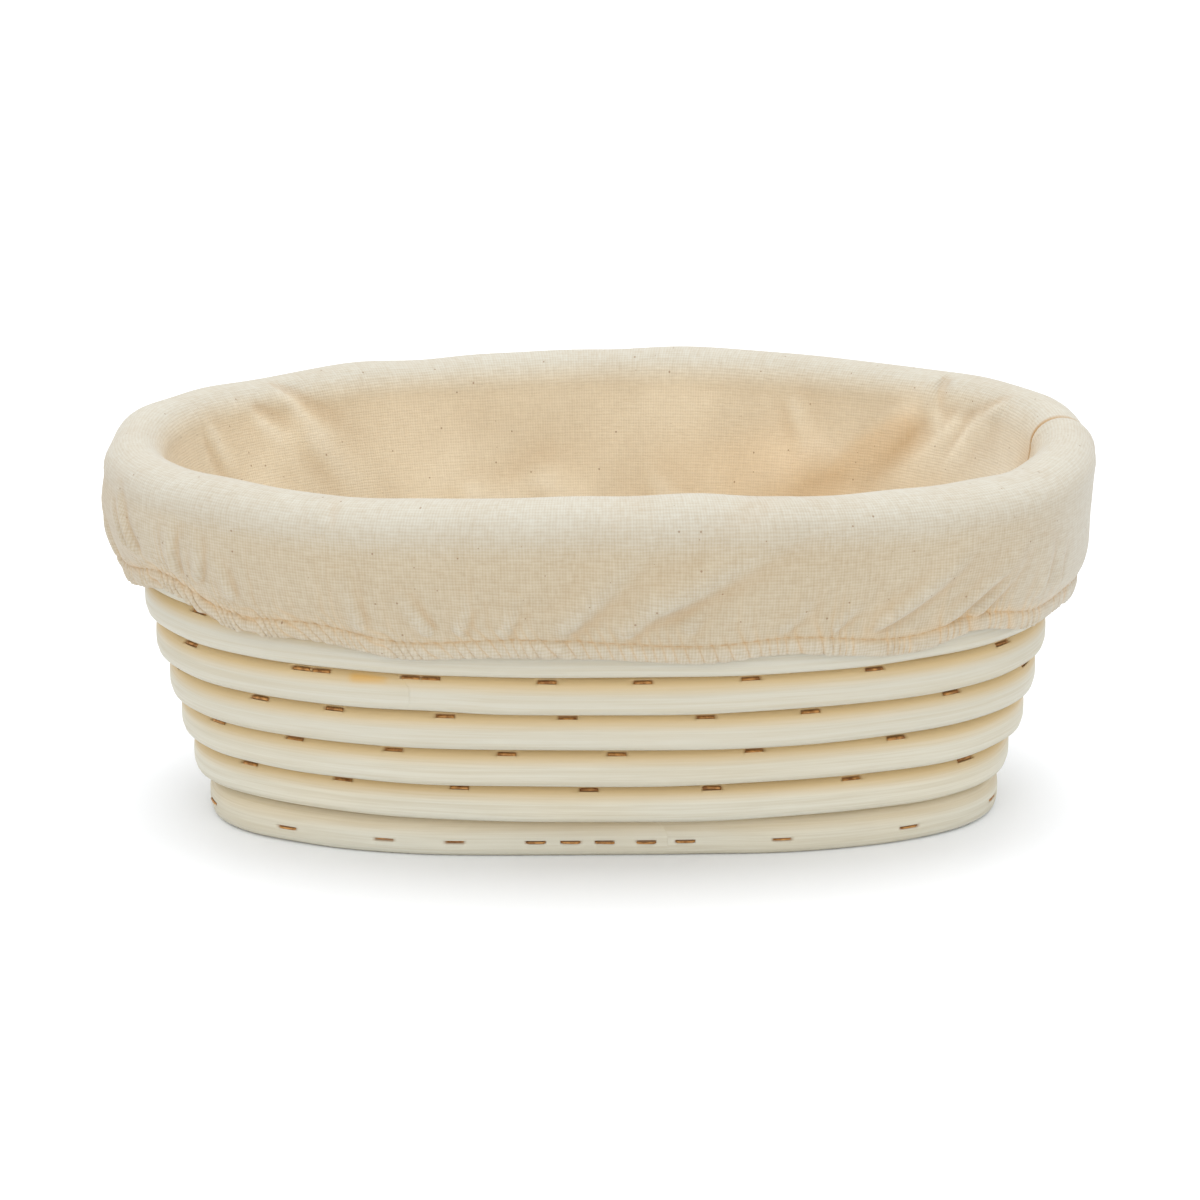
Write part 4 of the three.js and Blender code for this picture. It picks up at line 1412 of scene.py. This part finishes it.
# Painted light along the rim, inside near the right-hand end, at the ends and on the ridges.
lit_rim = (1 - rising(down, *RIM_FADE_OUTSIDE)) * (1 - rising(-down, *RIM_FADE_INSIDE))
lit_inside_end = bells(LIT_INSIDE_END) * rising(down, *LIT_INSIDE_END_START) * (down < 0)
lit_ends = bells(LIT_ENDS) * rising(down, *LIT_ENDS_START)
pale_ruffle = RUFFLE_PALENESS * rising(under_stitch, *RUFFLE_PALENESS_START) * skirt_side
pale_ruffle = pale_ruffle * (1 - bell(*DARK_RUFFLE))
ridge_highlights = RIDGE_HIGHLIGHT * np.clip(crest / RIDGE_HEIGHT, 0, 1)
lit_and_paleness = np.maximum.reduce([lit_rim, lit_inside_end, lit_ends, pale_ruffle, ridge_highlights])
print(f"pale: {lit_and_paleness.mean():.2f} of the side")

# %% Where it is tan: the end seam, and painted shade
SEAM_LINE_SIDE, SEAM_LINE_HALF = 0.5, 1.4
SEAM_LINE_EDGE = 4  # exponent, higher for a sharper edge
SEAM_LINE_OUTSIDE = 0.45  # its strength outside, while it is full inside
SEAM_LINE_GAIN = (-3, 12)
STITCH_PITCH = 2.5
STITCH_SHADE, STITCH_SHADE_HALF = 0.55, 0.35
STITCH_DOT = 0.2  # a dot is where a wave of the stitches' pitch is higher than this
PLEAT_LINE_SHADE = 0.34
HOLLOW_SHADE = 0.21
HOLLOW_LOW = 0.22  # under its surroundings, where a hollow is darkest
# Tan for the end seam itself, and painted shade: the seam's groove, stitches, pleat lines and hollows.
seam_fade = SEAM_LINE_OUTSIDE + (1 - SEAM_LINE_OUTSIDE) * rising(-down, *SEAM_LINE_GAIN)
tan_seam = seam_fade * np.exp(-(((seam_side - SEAM_LINE_SIDE) / SEAM_LINE_HALF) ** SEAM_LINE_EDGE))
stitch_dots = np.cos(2 * math.pi * around / STITCH_PITCH) > STITCH_DOT
stitch_shade = STITCH_SHADE * hump(under_stitch, STITCH_SHADE_HALF) * skirt_side * stitch_dots
hollow_shade = HOLLOW_SHADE * np.clip(-crest / HOLLOW_LOW, 0, 1)
seam_and_shade_places = np.maximum.reduce([tan_seam, stitch_shade, PLEAT_LINE_SHADE * pleat_lines, hollow_shade])
print(f"tan: {seam_and_shade_places.mean():.2f} of the side")

# %% Where warm painted shade makes it golden
TROUGH = ((0.112, -10), (0.205, -44), 6.0, 1.5)  # the deepest fold inside, as a crease
TROUGH_GLOW = 0.5
TROUGH_SIDE = [(0.4, 0.175, 0.05)]
TROUGH_SIDE_START = (14, 14)
SEAM_GLOW, SEAM_GLOW_HALF = 0.4, 8
SEAM_GLOW_START = (6, 8)
HEM_GLOW_ENDS = [(1.0, 0.88, 0.06), (1.0, 0.6, 0.07)]
HEM_GLOW, HEM_GLOW_AT_ENDS, HEM_GLOW_HALF = 0.06, 0.24, 1.3  # along the stitches
PLEAT_GLOW, PLEAT_GLOW_AT_ENDS = 0.2, 0.3  # between the pleats
INSIDE_START = (3, 9)
# All of these are warm painted shade.
hem_ends = bells(HEM_GLOW_ENDS)
trough_shade = TROUGH_GLOW * np.clip(crease(*TROUGH), 0, 1)
trough_side_shade = bells(TROUGH_SIDE) * rising(-down, *TROUGH_SIDE_START)
seam_hollow_shade = SEAM_GLOW * hump(seam_side, SEAM_GLOW_HALF) * rising(-down, *SEAM_GLOW_START)
hem_shade = (HEM_GLOW + HEM_GLOW_AT_ENDS * hem_ends) * hump(under_stitch, HEM_GLOW_HALF) * skirt_side
hem_shade = hem_shade + (PLEAT_GLOW + PLEAT_GLOW_AT_ENDS * hem_ends) * (1 - pleat) * fade_up
# The inside mask also paints light: it makes the inside brighter and warmer.
strip_masks = {
    "lit_and_pale": lit_and_paleness,
    "inside": rising(-down, *INSIDE_START),
    "seam_and_shade": seam_and_shade_places,
    "golden_shade": np.maximum.reduce([trough_shade, trough_side_shade, seam_hollow_shade, hem_shade]),
}
print("masks:", ", ".join(strip_masks))

# %% Liner side piece
CLOTH = 0.5


def thicken(piece):
    """Gives a piece of cloth its thickness, behind its outside."""
    layer = piece.modifiers.new("cloth thickness", "SOLIDIFY")
    layer.thickness = CLOTH * MM
    layer.offset = -1.0


strip_uv = grid_of(np.append(around, girth), np.concatenate([down, down[:, :1]], axis=1))
liner_side = skin("liner_side", wrinkled, cotton, strip_uv, "cloth", masks=strip_masks)
thicken(liner_side)
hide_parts("liner_wall", "liner_skirt")
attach(liner_side, "liner")
print("liner side:", len(liner_side.data.vertices), "points")

# %% [markdown]
# ## The bottom of the liner
#
# An oval panel closes the liner at the bottom, sewn to the side all round. It is a disc of rings, with
# slight wrinkles that fade towards its middle and a small roll at the seam.

# %% Liner bottom piece
BOTTOM_RINGS = 30
BOTTOM_ROOM = 0.4  # between the panel's edge and the side
BOTTOM_REST = 0.1  # how far it stands over the floor seam
BOTTOM_SEAM_RISE, BOTTOM_SEAM_WIDTH = 0.9, 1.3
BOTTOM_DIP = 0.4  # the deepest that it may wrinkle
BOTTOM_STEP = 2  # columns of the strip for each of its own
EDGE_RIPPLE = 0.35
EDGE_RIPPLE_FADE = 3  # exponent of its fading towards the middle
SLOW_RIPPLE = 0.2
bottom_share = np.linspace(1, 0, BOTTOM_RINGS)[:, None]
bottom_turn = turn[::BOTTOM_STEP]
bottom_long = wall_long(FLOOR_SEAM) - ROLL - BOTTOM_ROOM
bottom_wide = wall_wide(FLOOR_SEAM) - ROLL - BOTTOM_ROOM
bottom_x, bottom_y = oval(bottom_long, bottom_wide, WALL_SQUARENESS, bottom_turn)
ripple = EDGE_RIPPLE * slow_wave(bottom_turn, seed=51, lowest=5, highest=24)
ripple = ripple * bottom_share**EDGE_RIPPLE_FADE
ripple = ripple + SLOW_RIPPLE * slow_wave(bottom_turn, seed=53, lowest=1, highest=4) * bottom_share
seam_rise = BOTTOM_SEAM_RISE * hump((1 - bottom_share) * bottom_wide, BOTTOM_SEAM_WIDTH)
bottom_height = FLOOR_SEAM + BOTTOM_REST + seam_rise + np.maximum(ripple, -BOTTOM_DIP)
bottom_grid = grid_of(bottom_x * bottom_share, bottom_y * bottom_share, bottom_height)
bottom_uv = np.concatenate([bottom_grid, bottom_grid[:, :1]], axis=1)[..., :2]
bottom_masks = {mask: np.zeros(bottom_grid.shape[:2]) for mask in strip_masks}
bottom_masks["inside"] += 1
liner_bottom = skin("liner_bottom", bottom_grid, cotton, bottom_uv, "cloth", masks=bottom_masks)
thicken(liner_bottom)
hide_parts("liner_floor")
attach(liner_bottom, "liner")
print("liner bottom:", len(liner_bottom.data.vertices), "points")

# %% [markdown]
# ## Hem: elastic and stitches
#
# The elastic is a flat band inside the turned-up hem. It can't be seen while the hem is closed, but it
# is what draws the hem in, so it is here. The stitches that close the hem do show: short cream threads
# along a line, each drawn down at its ends.

# %% Elastic material
ELASTIC_LIGHT = colour(238, 234, 224)
ELASTIC_SHADE = colour(205, 198, 184)
ELASTIC_ROUGHNESS = (0.7, 0.85)
elastic_knit, tree, shader = new_material("elastic_knit")
knit = use_group(tree, plain_weave,
                 {"Vector": uv_place(tree, "cloth"), "Threads per mm": 2.4, "Slub length": 30.0})
two_tones(tree, shader, knit["Threads"], ELASTIC_LIGHT, ELASTIC_SHADE, ELASTIC_ROUGHNESS)
add_bump(tree, shader, knit["Height"], strength=0.4, depth=0.2)
print("material:", elastic_knit.name)

# %% Elastic band
BAND_HALF = 0.3
BAND_POINTS = 12
BAND_ROUND = 0.5  # exponent of its section, which is flat with round edges
BAND_FILL = 0.9  # of the width that the frame gives it
BAND_DEPTH = 1.35  # behind the ruffle
BAND_STEP = 4  # columns of the strip for each of its rings
band_low, band_high = (corner.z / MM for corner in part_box("hem_elastic"))
band_width = band_high - band_low
band_angle = np.linspace(0, 2 * math.pi, BAND_POINTS, endpoint=False)
band_up = band_width / 2 * np.sign(np.sin(band_angle)) * np.abs(np.sin(band_angle)) ** BAND_ROUND
band_height = stitch_height[::BAND_STEP, None] - RUFFLE / 2 + BAND_FILL * band_up
band_out = out[ruffle_row, ::BAND_STEP, None] - BAND_DEPTH + BAND_HALF * np.cos(band_angle)
band_grid = round_wall(band_height, band_out, turn[::BAND_STEP, None])
band_grid = np.concatenate([band_grid, band_grid[:1]])
band_around = np.append(around[::BAND_STEP], girth)[:, None]
band_uv = grid_of(band_around, np.linspace(0, 2 * band_width, BAND_POINTS + 1))
elastic = skin("hem_elastic_band", band_grid, elastic_knit, band_uv, "cloth")
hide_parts("hem_elastic")
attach(elastic, "liner")
print("elastic band:", len(elastic.data.vertices), "points")

# %% Thread material
THREAD_CREAM = colour(232, 222, 200)
THREAD_SHADE = colour(190, 170, 134)
THREAD_ROUGHNESS = (0.7, 0.9)
sewing_thread, tree, shader = new_material("sewing_thread")
ply = use_group(tree, tone_drift, {"Vector": piece_place(tree), "Patch size": 0.5})["Drift"]
two_tones(tree, shader, ply, THREAD_CREAM, THREAD_SHADE, THREAD_ROUGHNESS)
print("material:", sewing_thread.name)

# %% Hem stitches
STITCH_LENGTH = 1.7
STITCH_RINGS = 7
STITCH_BOW = 0.3
STITCH_SINK = 0.16  # of its ends, into the cloth
THREAD_HALF = 0.17
THREAD_END = 0.55  # share of its thickness that it has at its ends
THREAD_SIDES = 6
stitch_line = wrinkled[stitch_row]
stitch_normal = outward_normals(wrinkled)[stitch_row]
closed_line = np.concatenate([stitch_line, stitch_line[:1]])
closed_normal = np.concatenate([stitch_normal, stitch_normal[:1]])
stitch_way = way_along(closed_line)
stitch_count = int(stitch_way[-1] / STITCH_PITCH)
side_angle = np.linspace(0, 2 * math.pi, THREAD_SIDES, endpoint=False)[:, None]
bow = np.sin(np.linspace(0, math.pi, STITCH_RINGS))[:, None]
thick = THREAD_HALF * (THREAD_END + (1 - THREAD_END) * bow)[:, None]


def make_stitch(order):
    """One short thread that rises out of the cloth and dips into it again."""
    way = order * STITCH_PITCH + STITCH_LENGTH * np.linspace(0, 1, STITCH_RINGS)
    lift = follow(way, stitch_way, closed_normal)
    middle = follow(way, stitch_way, closed_line) + lift * (STITCH_BOW * bow - STITCH_SINK)
    along = np.gradient(middle, axis=0)
    along /= np.linalg.norm(along, axis=1, keepdims=True)
    across = np.cross(along, lift)
    spoke = np.cos(side_angle) * lift[:, None] + np.sin(side_angle) * across[:, None]
    return skin(f"stitch_{order}", middle[:, None] + thick * spoke, sewing_thread, capped=True)


stitches = join_pieces([make_stitch(order) for order in range(stitch_count)], "hem_stitches")
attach(stitches, "liner")
print("hem stitches:", stitch_count)

# %% [markdown]
# ## The cloth's cut
#
# The size that the bottom was cut to is printed below. The side is a strip as long as the rim is round,
# and as wide as the way from the floor seam over the rim to the edge of the turned-up hem.

print(f"bottom cut to {2 * bottom_wide:.0f} x {2 * bottom_long:.0f} mm")

# %% [markdown]
# ## Floor and light
#
# The basket stands on a plain white surface under soft light from all around, as in a light tent. A
# white world gives the even light. One large lamp overhead and two at the front, of which one is low,
# model the round cane and the folds. The floor is only a stage and isn't part of the object.

# %% Stage
FLOOR_SIZE = 6000
FLOOR_WHITE = (0.905, 0.925, 0.955, 1)
FLOOR_WHITER = (0.915, 0.935, 0.965, 1)
studio_floor, tree, shader = new_material("studio_floor")
sweep = use_group(tree, tone_drift, {"Vector": piece_place(tree), "Patch size": 800.0})["Drift"]
tree.links.new(mix_colour(tree, sweep, FLOOR_WHITE, FLOOR_WHITER), shader["Base Color"])
shader["Roughness"].default_value = 0.9
corners = np.array([[(-1, -1, 0), (1, -1, 0)], [(-1, 1, 0), (1, 1, 0)]]) * FLOOR_SIZE / 2
floor = skin("studio_floor", corners, studio_floor, tube=False)
print("stage:", floor.name)

# %% Lights
LIGHT_TARGET = Vector((0, 0, 0.04))
TENT_STRENGTH = 0.95
bpy.context.scene.view_settings.view_transform = "Standard"
world = bpy.data.worlds.new("light_tent")
bpy.context.scene.world = world
world.use_nodes = True
background = world.node_tree.nodes["Background"].inputs
background["Color"].default_value = (1.0, 1.0, 1.0, 1)
background["Strength"].default_value = TENT_STRENGTH


def add_softbox(name, place, width, height, power):
    """A flat lamp that points at the middle of the basket. Its place and sizes are in metres."""
    lamp = bpy.data.objects.new(name, bpy.data.lights.new(name, "AREA"))
    lamp.data.shape = "RECTANGLE"
    lamp.data.size = width
    lamp.data.size_y = height
    lamp.data.energy = power
    lamp.location = place
    lamp.rotation_euler = (LIGHT_TARGET - lamp.location).to_track_quat("-Z", "Y").to_euler()
    bpy.context.scene.collection.objects.link(lamp)
    return lamp


top_light = add_softbox("top_softbox", (0.0, 0.1, 1.3), width=1.2, height=1.2, power=11.5)
front_light = add_softbox("front_softbox", (0.1, -1.2, 0.95), width=1.5, height=0.9, power=2.3)
low_light = add_softbox("low_softbox", (-0.1, -1.3, 0.42), width=2.8, height=0.7, power=4.4)
print("lights:", top_light.name, front_light.name, low_light.name)
